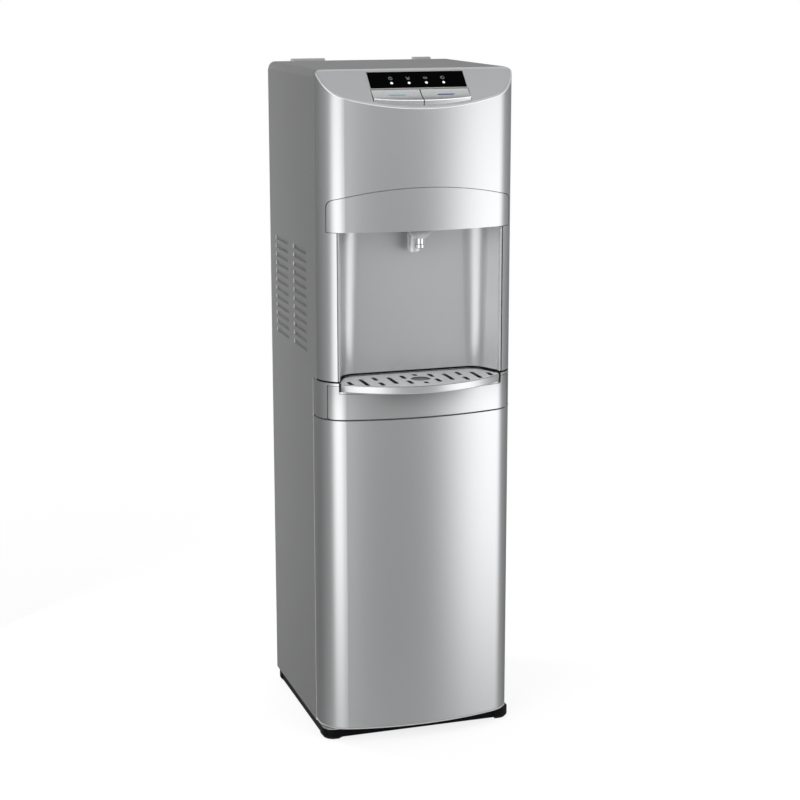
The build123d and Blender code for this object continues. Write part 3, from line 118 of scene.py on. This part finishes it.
def moulded_skin():
    """Spark-eroded skin of moulded plastic: fine grain, faint flow marks."""
    group, given, made = surface_effect("moulded_skin")
    flow = noise_of(group, scale=9, detail=3)
    grain = noise_of(group, scale=1500, detail=2)
    tone = remap(group, flow, low=0.88, high=1.12)
    spread = remap(group, grain, low=0.85, high=1.15)
    return hand_out(group, given, made, tone, spread, height=grain)


def finish(name, effect, colour, roughness, bump, **constants):
    """Material with one effect group that feeds its Principled shader."""
    relief_depth = 0.0002
    material = bpy.data.materials.new(name)
    material.use_nodes = True
    tree = material.node_tree
    shader = tree.nodes["Principled BSDF"]
    for label, value in constants.items():
        shader.inputs[label.replace("_", " ")].default_value = value
    surface = tree.nodes.new("ShaderNodeGroup")
    surface.node_tree = effect
    surface.inputs["Colour"].default_value = (*colour, 1)
    surface.inputs["Roughness"].default_value = roughness
    relief = tree.nodes.new("ShaderNodeBump")
    relief.inputs["Strength"].default_value = bump
    relief.inputs["Distance"].default_value = relief_depth
    tree.links.new(surface.outputs["Colour"], shader.inputs["Base Color"])
    tree.links.new(surface.outputs["Roughness"], shader.inputs["Roughness"])
    tree.links.new(surface.outputs["Height"], relief.inputs["Height"])
    tree.links.new(relief.outputs["Normal"], shader.inputs["Normal"])
    return material


def dress(material, *nodes):
    """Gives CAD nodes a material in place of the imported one."""
    for node in nodes:
        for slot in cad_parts[node].material_slots:
            slot.material = material


plastic = moulded_skin()
base_black = finish("base_black", plastic, (0.002, 0.002, 0.002), roughness=0.4, bump=0.25,
                    Specular_IOR_Level=0.06)
rubber_black = finish("rubber_black", plastic, (0.006, 0.006, 0.006), roughness=0.8, bump=0.5,
                      Specular_IOR_Level=0.15)
dress(base_black, "base_frame")
dress(rubber_black, "foot_pads")


# Inner sheet metal: bay floor, rear wall, compressor deck and tank shelf.
# Cut and folded from hot-dip galvanised steel, so each carries the spangle of its zinc.
def zinc_spangle():
    """Crystals of hot-dip zinc: each has its own tone and gloss."""
    group, given, made = surface_effect("zinc_spangle")
    place = group.nodes.new("ShaderNodeTexCoord")
    crystals = group.nodes.new("ShaderNodeTexVoronoi")
    crystals.inputs["Scale"].default_value = 95
    group.links.new(place.outputs["Object"], crystals.inputs["Vector"])
    split = group.nodes.new("ShaderNodeSeparateColor")
    group.links.new(crystals.outputs["Color"], split.inputs["Color"])
    tone = remap(group, split.outputs["Red"], low=0.82, high=1.12)
    spread = remap(group, split.outputs["Green"], low=0.75, high=1.25)
    return hand_out(group, given, made, tone, spread, height=split.outputs["Blue"])


zinc_sheet = finish("zinc_sheet", zinc_spangle(), (0.46, 0.47, 0.48), roughness=0.38, bump=0.04, Metallic=0.7)
dress(zinc_sheet, "bay_floor", "rear_panel", "compressor_deck", "tank_shelf")


# Side and top panels: folded steel sheet with a grey metallic powder coat, set on the base.
# The sides carry two columns of louvres, pressed inwards so that water and hands stay out.
# Ends of the louvres and the fold beside the door look to the front and carry painted highlights that set
# them lighter.
def metal_flake():
    """Paint with aluminium flake: glittering grain, slow drift of tone, faint orange peel."""
    group, given, made = surface_effect("metal_flake")
    glitter = noise_of(group, scale=2600, detail=1)
    drift = noise_of(group, scale=3, detail=2)
    peel = noise_of(group, scale=420, detail=2)
    fine_tone = remap(group, glitter, low=0.93, high=1.07)
    slow_tone = remap(group, drift, low=0.97, high=1.03)
    tone = combine(group, "MULTIPLY", fine_tone, slow_tone)
    spread = remap(group, glitter, low=0.9, high=1.1)
    return hand_out(group, given, made, tone, spread, height=peel)


def tint(material, mask, colour):
    """Turns a material's colour into another one where a mask is 1."""
    tree = material.node_tree
    socket = tree.nodes["Principled BSDF"].inputs["Base Color"]
    mix = tree.nodes.new("ShaderNodeMix")
    mix.data_type = "RGBA"
    factor, before, after = mix.inputs[0], mix.inputs[6], mix.inputs[7]
    after.default_value = (*colour, 1)
    tree.links.new(mask, factor)
    tree.links.new(socket.links[0].from_socket, before)
    tree.links.new(mix.outputs[2], socket)


def part_of(tree, vector, axis):
    """One coordinate of a vector."""
    parts = tree.nodes.new("ShaderNodeSeparateXYZ")
    tree.links.new(vector, parts.inputs["Vector"])
    return parts.outputs[axis]


def place_along(tree, axis):
    """Place along one axis on the piece itself."""
    return part_of(tree, tree.nodes.new("ShaderNodeTexCoord").outputs["Object"], axis)


def facing_along(tree, axis):
    """How far a surface faces along one axis, from -1 to 1."""
    return part_of(tree, tree.nodes.new("ShaderNodeNewGeometry").outputs["Normal"], axis)


flake = metal_flake()
panel_silver = finish("panel_silver", flake, (0.138, 0.139, 0.141), roughness=0.45, bump=0.08, Metallic=0.2)
# Painted highlights: lighter colours on the louvre ends and on the fold beside the door, where they face the
# front.
painted_louvre_highlight = (0.40, 0.40, 0.40)
painted_fold_highlight = (0.85, 0.85, 0.85)
panel_face = cad_high.x
end_depth = 0.0018
fold_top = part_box("lower_collar")[1].z
fold_fade = 0.002
tree = panel_silver.node_tree
facing_front = remap(tree, facing_along(tree, "Y"), start=-0.2, end=-0.6)
out_from_middle = combine(tree, "ABSOLUTE", place_along(tree, "X"))
near_face = remap(tree, out_from_middle, start=panel_face - end_depth, end=panel_face - 0.6 * end_depth)
tint(panel_silver, combine(tree, "MULTIPLY", facing_front, near_face), painted_louvre_highlight)
beside_door = remap(tree, place_along(tree, "Z"), start=fold_top, end=fold_top - fold_fade)
tint(panel_silver, combine(tree, "MULTIPLY", facing_front, beside_door), painted_fold_highlight)
dress(panel_silver, "side_panel_left", "side_panel_right")
top_silver = finish("top_silver", flake, (0.175, 0.176, 0.179), roughness=0.45, bump=0.08, Metallic=0.3)
dress(top_silver, "top_panel")

# Rear clips: two flat light grey mouldings hooked over the rear edge of the top.
# They keep the top panel from lifting.
clip_grey = finish("clip_grey", plastic, (0.37, 0.37, 0.37), roughness=0.5, bump=0.15)
dress(clip_grey, "rear_clip_left", "rear_clip_right")

# Rear fittings: rubber cable gland, white drain plug and zinc-plated pan-head screws.
# The screws are cold-headed with a six-lobe recess and hold the rear wall to its frame.
bright_steel = finish("bright_steel", flake, (0.6, 0.6, 0.61), roughness=0.28, bump=0.03, Metallic=1.0)
white_moulding = finish("white_moulding", plastic, (0.72, 0.72, 0.70), roughness=0.45, bump=0.15)
dress(rubber_black, "cord_gland")
dress(white_moulding, "drain_plug")


def piece_of(name, form, material):
    """Object at the origin, made of a finished bmesh."""
    mesh = bpy.data.meshes.new(name)
    form.to_mesh(mesh)
    form.free()
    mesh.materials.append(material)
    piece = bpy.data.objects.new(name, mesh)
    bpy.context.scene.collection.objects.link(piece)
    return piece


def join_piece(name, form, material, body):
    """Piece of the part, smooth but for its sharp edges, that rides on a body."""
    sharp_angle = math.radians(35)
    piece = piece_of(name, form, material)
    piece.data.shade_smooth()
    piece.data.set_sharp_from_angle(angle=sharp_angle)
    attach(piece, body)
    return piece


def pan_head(form, seat, radius, height):
    """Pan-head screw with a six-lobe recess: its axis runs along +Y, and its back lies on the seat."""
    steps = 36
    lobes, lobe_depth = 6, 0.2
    recess = 0.42 * radius
    recess_floor = 0.35 * height
    profile = [(0, recess_floor), (0.8 * recess, recess_floor), (recess, 0.85 * height),
               (1.15 * recess, 0.98 * height), (0.6 * radius, height), (0.85 * radius, 0.82 * height),
               (radius, 0.4 * height), (radius, 0), (0, 0)]
    points = [form.verts.new((across, along, 0)) for across, along in profile]
    edges = [form.edges.new(pair) for pair in zip(points, points[1:])]
    bmesh.ops.spin(form, geom=points + edges, cent=(0, 0, 0), axis=(0, 1, 0), angle=math.tau,
                   steps=steps, use_merge=True)
    bmesh.ops.remove_doubles(form, verts=[vert for vert in form.verts if not vert.tag], dist=1e-7)
    head = [vert for vert in form.verts if not vert.tag]
    for vert in head:
        reach = math.hypot(vert.co.x, vert.co.z)
        if 0.1 * recess < reach < 1.05 * recess:
            lobe = 1 + lobe_depth * math.cos(lobes * math.atan2(vert.co.z, vert.co.x))
            vert.co.x *= lobe
            vert.co.z *= lobe
    bmesh.ops.translate(form, verts=head, vec=seat)
    for vert in head:
        vert.tag = True


head_radius = 0.004
heads_per_side = 5
screw_low, screw_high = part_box("rear_screws")
screw_rise = (screw_high.z - screw_low.z - 2 * head_radius) / (heads_per_side - 1)
screws = bmesh.new()
for x in (screw_low.x + head_radius, screw_high.x - head_radius):
    for step in range(heads_per_side):
        seat = Vector((x, screw_low.y, screw_low.z + head_radius + step * screw_rise))
        pan_head(screws, seat, head_radius, height=screw_high.y - screw_low.y)
bmesh.ops.recalc_face_normals(screws, faces=screws.faces)
screw_heads = join_piece("screw_heads", screws, bright_steel, "cabinet")
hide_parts("rear_screws")

# Dust filters: one sheet of black open-cell foam behind the louvres of each side.
# Cut to size and stuck to the backs of the pressed pockets, inside the cabinet.
filter_black = finish("filter_black", plastic, (0.008, 0.008, 0.008), roughness=0.9, bump=0.6,
                      Specular_IOR_Level=0.1)
pocket_depth = 0.0045
filter_thick = 0.0015
filter_front, filter_rear = -0.049, 0.155
filter_foot, filter_head = 0.640, 0.815
filter_size = (filter_thick, filter_rear - filter_front, filter_head - filter_foot)
filters = bmesh.new()
for side in (-1, 1):
    middle = Vector((side * (panel_face - pocket_depth - filter_thick / 2),
                     (filter_front + filter_rear) / 2, (filter_foot + filter_head) / 2))
    bmesh.ops.create_cube(filters, size=1, matrix=Matrix.LocRotScale(middle, None, Vector(filter_size)))
join_piece("louvre_filters", filters, filter_black, "cabinet")

# Condenser: steel tube bent into a serpentine, spot-welded between upright wires.
# The whole grid is dipped in black enamel and stands off the rear wall on moulded posts.
black_enamel = finish("black_enamel", plastic, (0.012, 0.012, 0.013), roughness=0.25, bump=0.05,
                      Coat_Weight=0.4)
dark_moulding = finish("dark_moulding", plastic, (0.04, 0.04, 0.042), roughness=0.5, bump=0.2)
dress(black_enamel, "condenser_coil", "condenser_wires")
dress(dark_moulding, "condenser_posts")

# Cooling unit: enamelled compressor on rubber grommets, with its relay cover and copper drier.
# The cold tank above is drawn steel, wound with copper tube and jacketed in moulded foam.
copper_tube = finish("copper_tube", flake, (0.60, 0.27, 0.15), roughness=0.3, bump=0.02, Metallic=1.0)
foam_white = finish("foam_white", plastic, (0.78, 0.78, 0.75), roughness=0.85, bump=0.6)
dress(black_enamel, "compressor")
dress(rubber_black, "compressor_grommets")
dress(dark_moulding, "relay_cover")
dress(copper_tube, "filter_drier", "evaporator_coil")
dress(bright_steel, "cold_tank")
dress(foam_white, "tank_insulation")

# Water circuit: bought-in pump, valves and mains module in white mouldings, screwed in place.
# The bottle's steel suction probe is parked in a clip in the bay.
dress(white_moulding, "power_module", "water_pump", "cold_valve", "ambient_valve", "probe_clip", "probe_cap")
dress(bright_steel, "bottle_probe")

# Front mouldings in silver paint: collar, tray bezel, apron and the upper fascia.
# They clip to the panels behind, so only hairline seams and a black gasket show.
# The bezel carries a painted shadow under the tray's lip that hangs over it, least of all at its ends.
silver_paint = (0.42, 0.425, 0.43)
fascia_silver = finish("fascia_silver", flake, silver_paint, roughness=0.3, bump=0.05, Metallic=0.95)
bezel_silver = finish("bezel_silver", flake, silver_paint, roughness=0.3, bump=0.05, Metallic=0.95)
# Painted shadow: the bezel is darkened under the tray's lip.
painted_lip_shadow = (0.19, 0.192, 0.194)
dark_bend, end_share = 1.7, 0.3
bow_flat, bow_reach = 0.04, 0.10
bezel_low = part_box("tray_bezel")[0]
tray_low, tray_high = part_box("drip_tray")
tree = bezel_silver.node_tree
near_lip = remap(tree, place_along(tree, "Z"), start=bezel_low.z, end=tray_low.z)
out_from_middle = combine(tree, "ABSOLUTE", place_along(tree, "X"))
under_bow = remap(tree, out_from_middle, low=1.0, high=end_share, start=bow_flat, end=bow_reach, smooth=True)
lip_shadow_mask = combine(tree, "MULTIPLY", combine(tree, "POWER", near_lip, dark_bend), under_bow)
tint(bezel_silver, lip_shadow_mask, painted_lip_shadow)
dress(bezel_silver, "tray_bezel")
dress(fascia_silver, "lower_collar", "apron_panel", "upper_fascia")
dress(rubber_black, "joint_gasket")

# Drip tray: one moulding with a polished bowed lip to pull it out by, its lower edge rounded.
# It slides on the collar's shelf, and its floor lies in shade and is set darker.
lip_bright = finish("lip_bright", flake, (0.46, 0.465, 0.47), roughness=0.3, bump=0.01, Metallic=0.75)
tray_floor = (0.16, 0.16, 0.162)
rim_band = 0.001
lip_round = 0.0016
tree = lip_bright.node_tree
facing_up = remap(tree, facing_along(tree, "Z"), start=0.5, end=0.8)
below_rim = remap(tree, place_along(tree, "Z"), start=tray_high.z - rim_band, end=tray_high.z - 2 * rim_band)
tint(lip_bright, combine(tree, "MULTIPLY", facing_up, below_rim), tray_floor)


def lip_foot(edge):
    """Whether an edge is the sharp lower one along the outside of the lip."""
    sharp = edge.calc_face_angle() > math.radians(60)
    outside = any(face.normal.y < -0.3 for face in edge.link_faces)
    return sharp and outside and all(vert.co.z < tray_low.z + 1e-5 for vert in edge.verts)


tray = bmesh.new()
tray.from_mesh(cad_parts["drip_tray"].data)
bmesh.ops.remove_doubles(tray, verts=tray.verts, dist=1e-6)
bmesh.ops.dissolve_limit(tray, angle_limit=math.radians(0.5), verts=tray.verts, edges=tray.edges)
bmesh.ops.bevel(tray, geom=[edge for edge in tray.edges if lip_foot(edge)], offset=lip_round,
                affect="EDGES", segments=3, profile=0.5, material=-1)
bmesh.ops.recalc_face_normals(tray, faces=tray.faces)
tray_lip = join_piece("tray_lip", tray, lip_bright, "tray")
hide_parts("drip_tray")

# Grille: a satin grey moulding with slots, laid on the tray, and a perforated disc in its spill hole.
# Walls of the slots and the rear of the disc lie in shade and are set darker.
grille_grey = finish("grille_grey", plastic, (0.56, 0.565, 0.57), roughness=0.45, bump=0.15, Metallic=0.2)
slot_wall = (0.14, 0.14, 0.142)
top_skin = 0.0001
grille_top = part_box("drip_grille")[1].z
tree = grille_grey.node_tree
below_top = remap(tree, place_along(tree, "Z"), start=grille_top - top_skin, end=grille_top - 3 * top_skin)
tint(grille_grey, below_top, slot_wall)
dress(grille_grey, "drip_grille")

sieve_grey = finish("sieve_grey", plastic, (0.30, 0.30, 0.305), roughness=0.45, bump=0.15, Metallic=0.3)
sieve_rear = (0.10, 0.10, 0.102)
sieve_low, sieve_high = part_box("spill_sieve")
tree = sieve_grey.node_tree
rearwards = remap(tree, place_along(tree, "Y"), start=sieve_low.y, end=sieve_high.y, smooth=True)
tint(sieve_grey, rearwards, sieve_rear)
dress(sieve_grey, "spill_sieve")

# Alcove liner: one deep moulding in satin silver paint, with a bead up each front edge.
# It is set into the fascia's opening from behind, and its side walls are painted lighter than its back, a
# painted highlight.
alcove_silver = finish("alcove_silver", flake, (0.43, 0.435, 0.44), roughness=0.3, bump=0.05, Metallic=0.55)
# Painted highlight: the alcove's side walls are set lighter than its back.
painted_alcove_side_light = (0.82, 0.825, 0.83)
tree = alcove_silver.node_tree
sideways = combine(tree, "ABSOLUTE", facing_along(tree, "X"))
tint(alcove_silver, remap(tree, sideways, start=0.75, end=0.97, smooth=True), painted_alcove_side_light)
dress(alcove_silver, "alcove_liner")

# Control deck: satin plate, smoked window, light guides and two silver keys over a circuit board.
# The plate is stuck to the slope, and the keys work switches on the board below.
deck_silver = finish("deck_silver", flake, (0.30, 0.304, 0.308), roughness=0.4, bump=0.06, Metallic=0.75)
key_silver = finish("key_silver", flake, (0.45, 0.455, 0.46), roughness=0.27, bump=0.05, Metallic=0.85)
stripe_cold = finish("stripe_cold", plastic, (0.09, 0.25, 0.30), roughness=0.3, bump=0.02)
stripe_ambient = finish("stripe_ambient", plastic, (0.035, 0.035, 0.11), roughness=0.3, bump=0.02)
display_black = finish("display_black", plastic, (0.001, 0.001, 0.001), roughness=0.2, bump=0.01,
                       Specular_IOR_Level=0.005)
lens_white = finish("lens_white", plastic, (0.80, 0.82, 0.85), roughness=0.3, bump=0.02,
                    Emission_Color=(1, 1, 1, 1), Emission_Strength=0.2)
board_green = finish("board_green", plastic, (0.03, 0.16, 0.07), roughness=0.35, bump=0.1)
dress(deck_silver, "control_panel")
dress(key_silver, "key_left", "key_right")
dress(stripe_cold, "key_left_stripe")
dress(stripe_ambient, "key_right_stripe")
dress(display_black, "display_window")
dress(lens_white, "indicator_lenses")
dress(board_green, "control_board")
dress(dark_moulding, "key_switches")

# Pictograms: four plain signs, one over each light, screen-printed in grey on the smoked window.
# They are drawn flat, X across the window and Y up its slope, and then laid on the glass.
icon_grey = finish("icon_grey", plastic, (0.20, 0.20, 0.20), roughness=0.5, bump=0.05, Specular_IOR_Level=0.1)
stroke = 0.0007
sign = 0.0032
sign_climb = 0.0202
print_thick = 0.00006
print_lift = 0.00009
lens_radius = 0.0022
window_thick = 0.0012
window_slope = math.radians(45)


def bar(form, x, y, length, turn=0.0):
    """Printed stroke about a middle point."""
    place = Matrix.Translation((x, y, 0)) @ Matrix.Rotation(math.radians(turn), 4, "Z")
    bmesh.ops.create_grid(form, x_segments=1, y_segments=1, size=0.5,
                          matrix=place @ Matrix.Diagonal((length, stroke, 1, 1)))


def ring(form, x, y, radius, tall=1.0):
    """Printed ring or oval about a middle point."""
    place = Matrix.Translation((x, y, 0)) @ Matrix.Diagonal((1, tall, 1, 1))
    loops = []
    for reach in (radius, radius - stroke):
        circle = bmesh.ops.create_circle(form, segments=24, radius=reach, matrix=place)
        loops += {edge for vert in circle["verts"] for edge in vert.link_edges}
    bmesh.ops.bridge_loops(form, edges=loops)


def switch_sign(form, x, y):
    """Ring with an upright stroke."""
    ring(form, x, y, sign)
    bar(form, x, y + 0.375 * sign, 1.125 * sign, turn=90)


def cup_sign(form, x, y):
    """Tapered cup with two levels."""
    for side in (-1, 1):
        bar(form, x + side * 0.65625 * sign, y, 1.9375 * sign, turn=90 - side * 10)
    for height, length in ((-0.875, 1.0), (0.125, 1.25), (-0.375, 1.125)):
        bar(form, x, y + height * sign, length * sign)


def level_sign(form, x, y):
    """Oval with a stroke across."""
    ring(form, x, y, 1.0625 * sign, tall=0.62)
    bar(form, x, y, 1.75 * sign)


def cycle_sign(form, x, y):
    """Ring with an arrow head."""
    ring(form, x, y, sign)
    for side in (1, -1):
        bar(form, x - 0.5 * sign, y + (0.0625 + side * 0.25) * sign, 0.75 * sign, turn=side * 45)


signs = (switch_sign, cup_sign, level_sign, cycle_sign)
lens_low, lens_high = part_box("indicator_lenses")
lens_pitch = (lens_high.x - lens_low.x - 2 * lens_radius) / (len(signs) - 1)
icons = bmesh.new()
for number, draw in enumerate(signs):
    draw(icons, lens_low.x + lens_radius + number * lens_pitch, sign_climb)
bmesh.ops.recalc_face_normals(icons, faces=icons.faces)
bmesh.ops.solidify(icons, geom=icons.faces[:], thickness=print_thick)
window_low, window_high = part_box("display_window")
slope_depth = window_high.y - window_low.y - window_thick * math.cos(window_slope)
glass_edge = Vector((0, window_low.y, window_high.z - slope_depth))
off_glass = Vector((0, -math.sin(window_slope), math.cos(window_slope))) * print_lift
on_glass = Matrix.Translation(glass_edge + off_glass) @ Matrix.Rotation(window_slope, 4, "X")
bmesh.ops.transform(icons, matrix=on_glass, verts=icons.verts)
bmesh.ops.recalc_face_normals(icons, faces=icons.faces)
join_piece("display_icons", icons, icon_grey, "cabinet")

# Spout: a grey moulded bowl under the apron with a guard on its left, and a bright plated nozzle.
# The bowl has a light sheen, and a painted shade darkens it where it goes up into the apron.
spout_grey = finish("spout_grey", flake, (0.55, 0.555, 0.56), roughness=0.35, bump=0.04, Metallic=0.35)
bowl_grey = finish("bowl_grey", flake, (0.42, 0.425, 0.43), roughness=0.35, bump=0.04, Metallic=0.35,
                   Sheen_Weight=1.0, Sheen_Roughness=0.6)
spout_bright = finish("spout_bright", flake, (0.50, 0.505, 0.51), roughness=0.12, bump=0.0, Metallic=1.0)
# Painted shade: the bowl is darkened where it goes up into the apron.
painted_apron_shade = (0.15, 0.15, 0.152)
bowl_shade = 0.012
apron_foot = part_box("apron_panel")[0].z
tree = bowl_grey.node_tree
apron_shade_mask = remap(tree, place_along(tree, "Z"), start=apron_foot - bowl_shade, end=apron_foot, smooth=True)
tint(bowl_grey, apron_shade_mask, painted_apron_shade)
dress(bowl_grey, "spout_hood")
dress(spout_grey, "splash_guard")
dress(spout_bright, "spout_nozzle")

# Door: silver painted skin over a grey moulded tray, turning on two steel pins in white bushes.
# A magnet under the collar holds it by a plated strike plate.
grey_moulding = finish("grey_moulding", plastic, (0.42, 0.425, 0.43), roughness=0.5, bump=0.2)
dress(fascia_silver, "door_skin")
dress(grey_moulding, "door_inner")
dress(white_moulding, "hinge_bushes")
dress(bright_steel, "lower_hinge", "upper_hinge", "strike_plate")
dress(dark_moulding, "magnet_catch")


# Studio lamps: six soft boxes round the cabinet, at a plain level, which gloss can't see.
# The narrow one close behind the left side lets that side fall off towards the front.
def softbox(name, azimuth, distance, height, width, tall, radiance, tilt=0.0):
    """Area lamp that faces the object, with the same brightness whatever its size."""
    lamp = bpy.data.lights.new(name, "AREA")
    lamp.shape = "RECTANGLE"
    lamp.size = width
    lamp.size_y = tall
    lamp.energy = radiance * math.pi * width * tall
    stand = bpy.data.objects.new(name, lamp)
    turn = math.radians(azimuth)
    stand.location = (distance * math.sin(turn), -distance * math.cos(turn), height)
    stand.rotation_euler = (math.radians(90 - tilt), 0, turn)
    stand.visible_camera = False
    stand.visible_glossy = False
    bpy.context.scene.collection.objects.link(stand)


softbox("key_lamp", azimuth=-50, distance=2.6, height=1.3, width=1.4, tall=1.8, radiance=2.9, tilt=12)
softbox("right_lamp", azimuth=34, distance=2.6, height=1.4, width=1.6, tall=1.8, radiance=2.6, tilt=12)
softbox("top_lamp", azimuth=0, distance=0.2, height=2.9, width=1.8, tall=1.8, radiance=2.4, tilt=88)
softbox("left_rear_lamp", azimuth=-132, distance=0.85, height=0.65, width=0.2, tall=1.7, radiance=8.5)
softbox("right_rear_lamp", azimuth=105, distance=2.2, height=0.9, width=1.2, tall=1.6, radiance=4.0)
softbox("rear_lamp", azimuth=180, distance=2.4, height=1.3, width=1.6, tall=1.8, radiance=1.5, tilt=10)

# Reflector wall: a round grey wall with a sloped head, which only gloss can see.
# A lit panel stands at the left of the front and one at the right, and the front of the head is lit.
wall_radius, wall_foot, wall_head = 3.4, -1.8, 2.2
roof_radius, roof_height = 1.7, 4.0
lit_level = 2.2


def lit_panel(tree, azimuth, middle, full, reach):
    """Glow of a panel on the wall: full about its middle, fading out to nothing at its reach."""
    offset = combine(tree, "ABSOLUTE", combine(tree, "SUBTRACT", azimuth, math.radians(middle)))
    return remap(tree, offset, low=lit_level, high=0.0,
                 start=math.radians(full), end=math.radians(reach), smooth=True)


wall_glow = bpy.data.materials.new("wall_glow")
wall_glow.use_nodes = True
wall_glow.cycles.emission_sampling = "NONE"
tree = wall_glow.node_tree
tree.nodes.remove(tree.nodes["Principled BSDF"])
height = place_along(tree, "Z")
forward = combine(tree, "MULTIPLY", place_along(tree, "Y"), -1.0)
azimuth = combine(tree, "ARCTAN2", place_along(tree, "X"), forward)

paint = remap(tree, height, low=0.56, high=0.70, start=-0.1, end=0.7, smooth=True)
dim_rear = remap(tree, combine(tree, "ABSOLUTE", azimuth), low=1.0, high=0.48,
                 start=math.radians(65), end=math.radians(135), smooth=True)
dim_foot = remap(tree, height, low=0.84, high=1.0, start=-1.3, end=-0.3, smooth=True)
grey_wall = combine(tree, "MULTIPLY", combine(tree, "MULTIPLY", paint, dim_rear), dim_foot)

left_panel = lit_panel(tree, azimuth, middle=-41, full=9, reach=31)
right_panel = lit_panel(tree, azimuth, middle=51, full=8, reach=32)
upper_end = remap(tree, height, low=1.0, high=0.35, start=0.55, end=1.3, smooth=True)
lower_end = remap(tree, height, low=0.05, high=1.0, start=-1.4, end=-0.7, smooth=True)
panels = combine(tree, "MULTIPLY", combine(tree, "ADD", left_panel, right_panel),
                 combine(tree, "MULTIPLY", upper_end, lower_end))

above_wall = remap(tree, height, start=wall_head, end=wall_head + 0.2, smooth=True)
lit_head = combine(tree, "MULTIPLY", lit_panel(tree, azimuth, middle=0, full=50, reach=90), above_wall)

glow = combine(tree, "ADD", combine(tree, "ADD", grey_wall, panels), lit_head)
emission = tree.nodes.new("ShaderNodeEmission")
tree.links.new(glow, emission.inputs["Strength"])
tree.links.new(emission.outputs["Emission"], tree.nodes["Material Output"].inputs["Surface"])

wall_form = bmesh.new()
profile = ((wall_radius, wall_foot), (wall_radius, wall_head), (roof_radius, roof_height))
points = [wall_form.verts.new((across, 0, up)) for across, up in profile]
edges = [wall_form.edges.new(pair) for pair in zip(points, points[1:])]
bmesh.ops.spin(wall_form, geom=points + edges, cent=(0, 0, 0), axis=(0, 0, 1), angle=math.tau,
               steps=96, use_merge=True)
wall = piece_of("reflector_wall", wall_form, wall_glow)
wall.visible_camera = False
wall.visible_diffuse = False
wall.visible_transmission = False
wall.visible_shadow = False

# Floor: a round sheet of pale paper that fades out into the white background.
# The camera sees it mostly as white, apart from the part under the base, and it keeps the shadow.
white_share = 0.8
fade_start, fade_end, floor_radius = 0.5, 1.8, 1.9
base_low, base_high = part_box("base_frame")
base_middle, base_half = (base_low + base_high) / 2, (base_high - base_low) / 2
floor_pale = bpy.data.materials.new("floor_pale")
floor_pale.use_nodes = True
tree = floor_pale.node_tree
paper = tree.nodes["Principled BSDF"]
paper.inputs["Base Color"].default_value = (0.97, 0.97, 0.97, 1)
paper.inputs["Roughness"].default_value = 0.9


def reach_of_base(tree, axis, middle, half):
    """Distance from the base's middle along one axis, where 1 is the base's edge."""
    offset = combine(tree, "SUBTRACT", place_along(tree, axis), middle)
    return combine(tree, "DIVIDE", combine(tree, "ABSOLUTE", offset), half)


def blend(tree, share, first, second):
    """Two shaders mixed by a share."""
    mix = tree.nodes.new("ShaderNodeMixShader")
    tree.links.new(share, mix.inputs["Fac"])
    tree.links.new(first, mix.inputs[1])
    tree.links.new(second, mix.inputs[2])
    return mix.outputs["Shader"]


across = reach_of_base(tree, "X", base_middle.x, base_half.x)
along = reach_of_base(tree, "Y", base_middle.y, base_half.y)
beside_base = remap(tree, combine(tree, "MAXIMUM", across, along), start=0.82, end=0.95)
path = tree.nodes.new("ShaderNodeLightPath")
seen_white = combine(tree, "MULTIPLY", path.outputs["Is Camera Ray"], white_share)
white = tree.nodes.new("ShaderNodeEmission")
sheet = blend(tree, combine(tree, "MULTIPLY", seen_white, beside_base),
              paper.outputs["BSDF"], white.outputs["Emission"])
place = tree.nodes.new("ShaderNodeTexCoord")
reach = tree.nodes.new("ShaderNodeVectorMath")
reach.operation = "LENGTH"
tree.links.new(place.outputs["Object"], reach.inputs[0])
fade = remap(tree, reach.outputs["Value"], start=fade_start, end=fade_end, smooth=True)
clear = tree.nodes.new("ShaderNodeBsdfTransparent")
faded_sheet = blend(tree, fade, sheet, clear.outputs["BSDF"])
tree.links.new(faded_sheet, tree.nodes["Material Output"].inputs["Surface"])

floor_form = bmesh.new()
bmesh.ops.create_circle(floor_form, cap_ends=True, radius=floor_radius, segments=96)
floor = piece_of("floor", floor_form, floor_pale)
floor.visible_glossy = False

# Background: plain white to the eye, in gloss and through glass.
# As a light on the object it is dimmer, and fills the shadows between the lamps.
fill_level = 0.42
world = bpy.data.worlds.new("studio")
bpy.context.scene.world = world
world.use_nodes = True
tree = world.node_tree
sky = tree.nodes["Background"]
sky.inputs["Color"].default_value = (1, 1, 1, 1)
path = tree.nodes.new("ShaderNodeLightPath")
seen = combine(tree, "MAXIMUM", path.outputs["Is Camera Ray"], path.outputs["Is Glossy Ray"])
seen = combine(tree, "MAXIMUM", seen, path.outputs["Is Transmission Ray"])
tree.links.new(remap(tree, seen, low=fill_level, high=1.0), sky.inputs["Strength"])
bpy.context.scene.view_settings.view_transform = "Standard"

# Camera: at the left of the front and a little above the top, with a long lens.
# It looks down on the cabinet, with a small shift that keeps the picture's frame.
camera_turn, camera_dip = -18.20, 12.36
camera_data = bpy.data.cameras.new("camera")
camera_data.lens = 84.9
camera_data.shift_x = -0.010
camera_data.shift_y = -0.02
camera = bpy.data.objects.new("camera", camera_data)
camera.location = (-0.950, -2.960, 1.250)
camera.rotation_euler = (math.radians(90 - camera_dip), 0, math.radians(camera_turn))
bpy.context.scene.collection.objects.link(camera)
bpy.context.scene.camera = camera
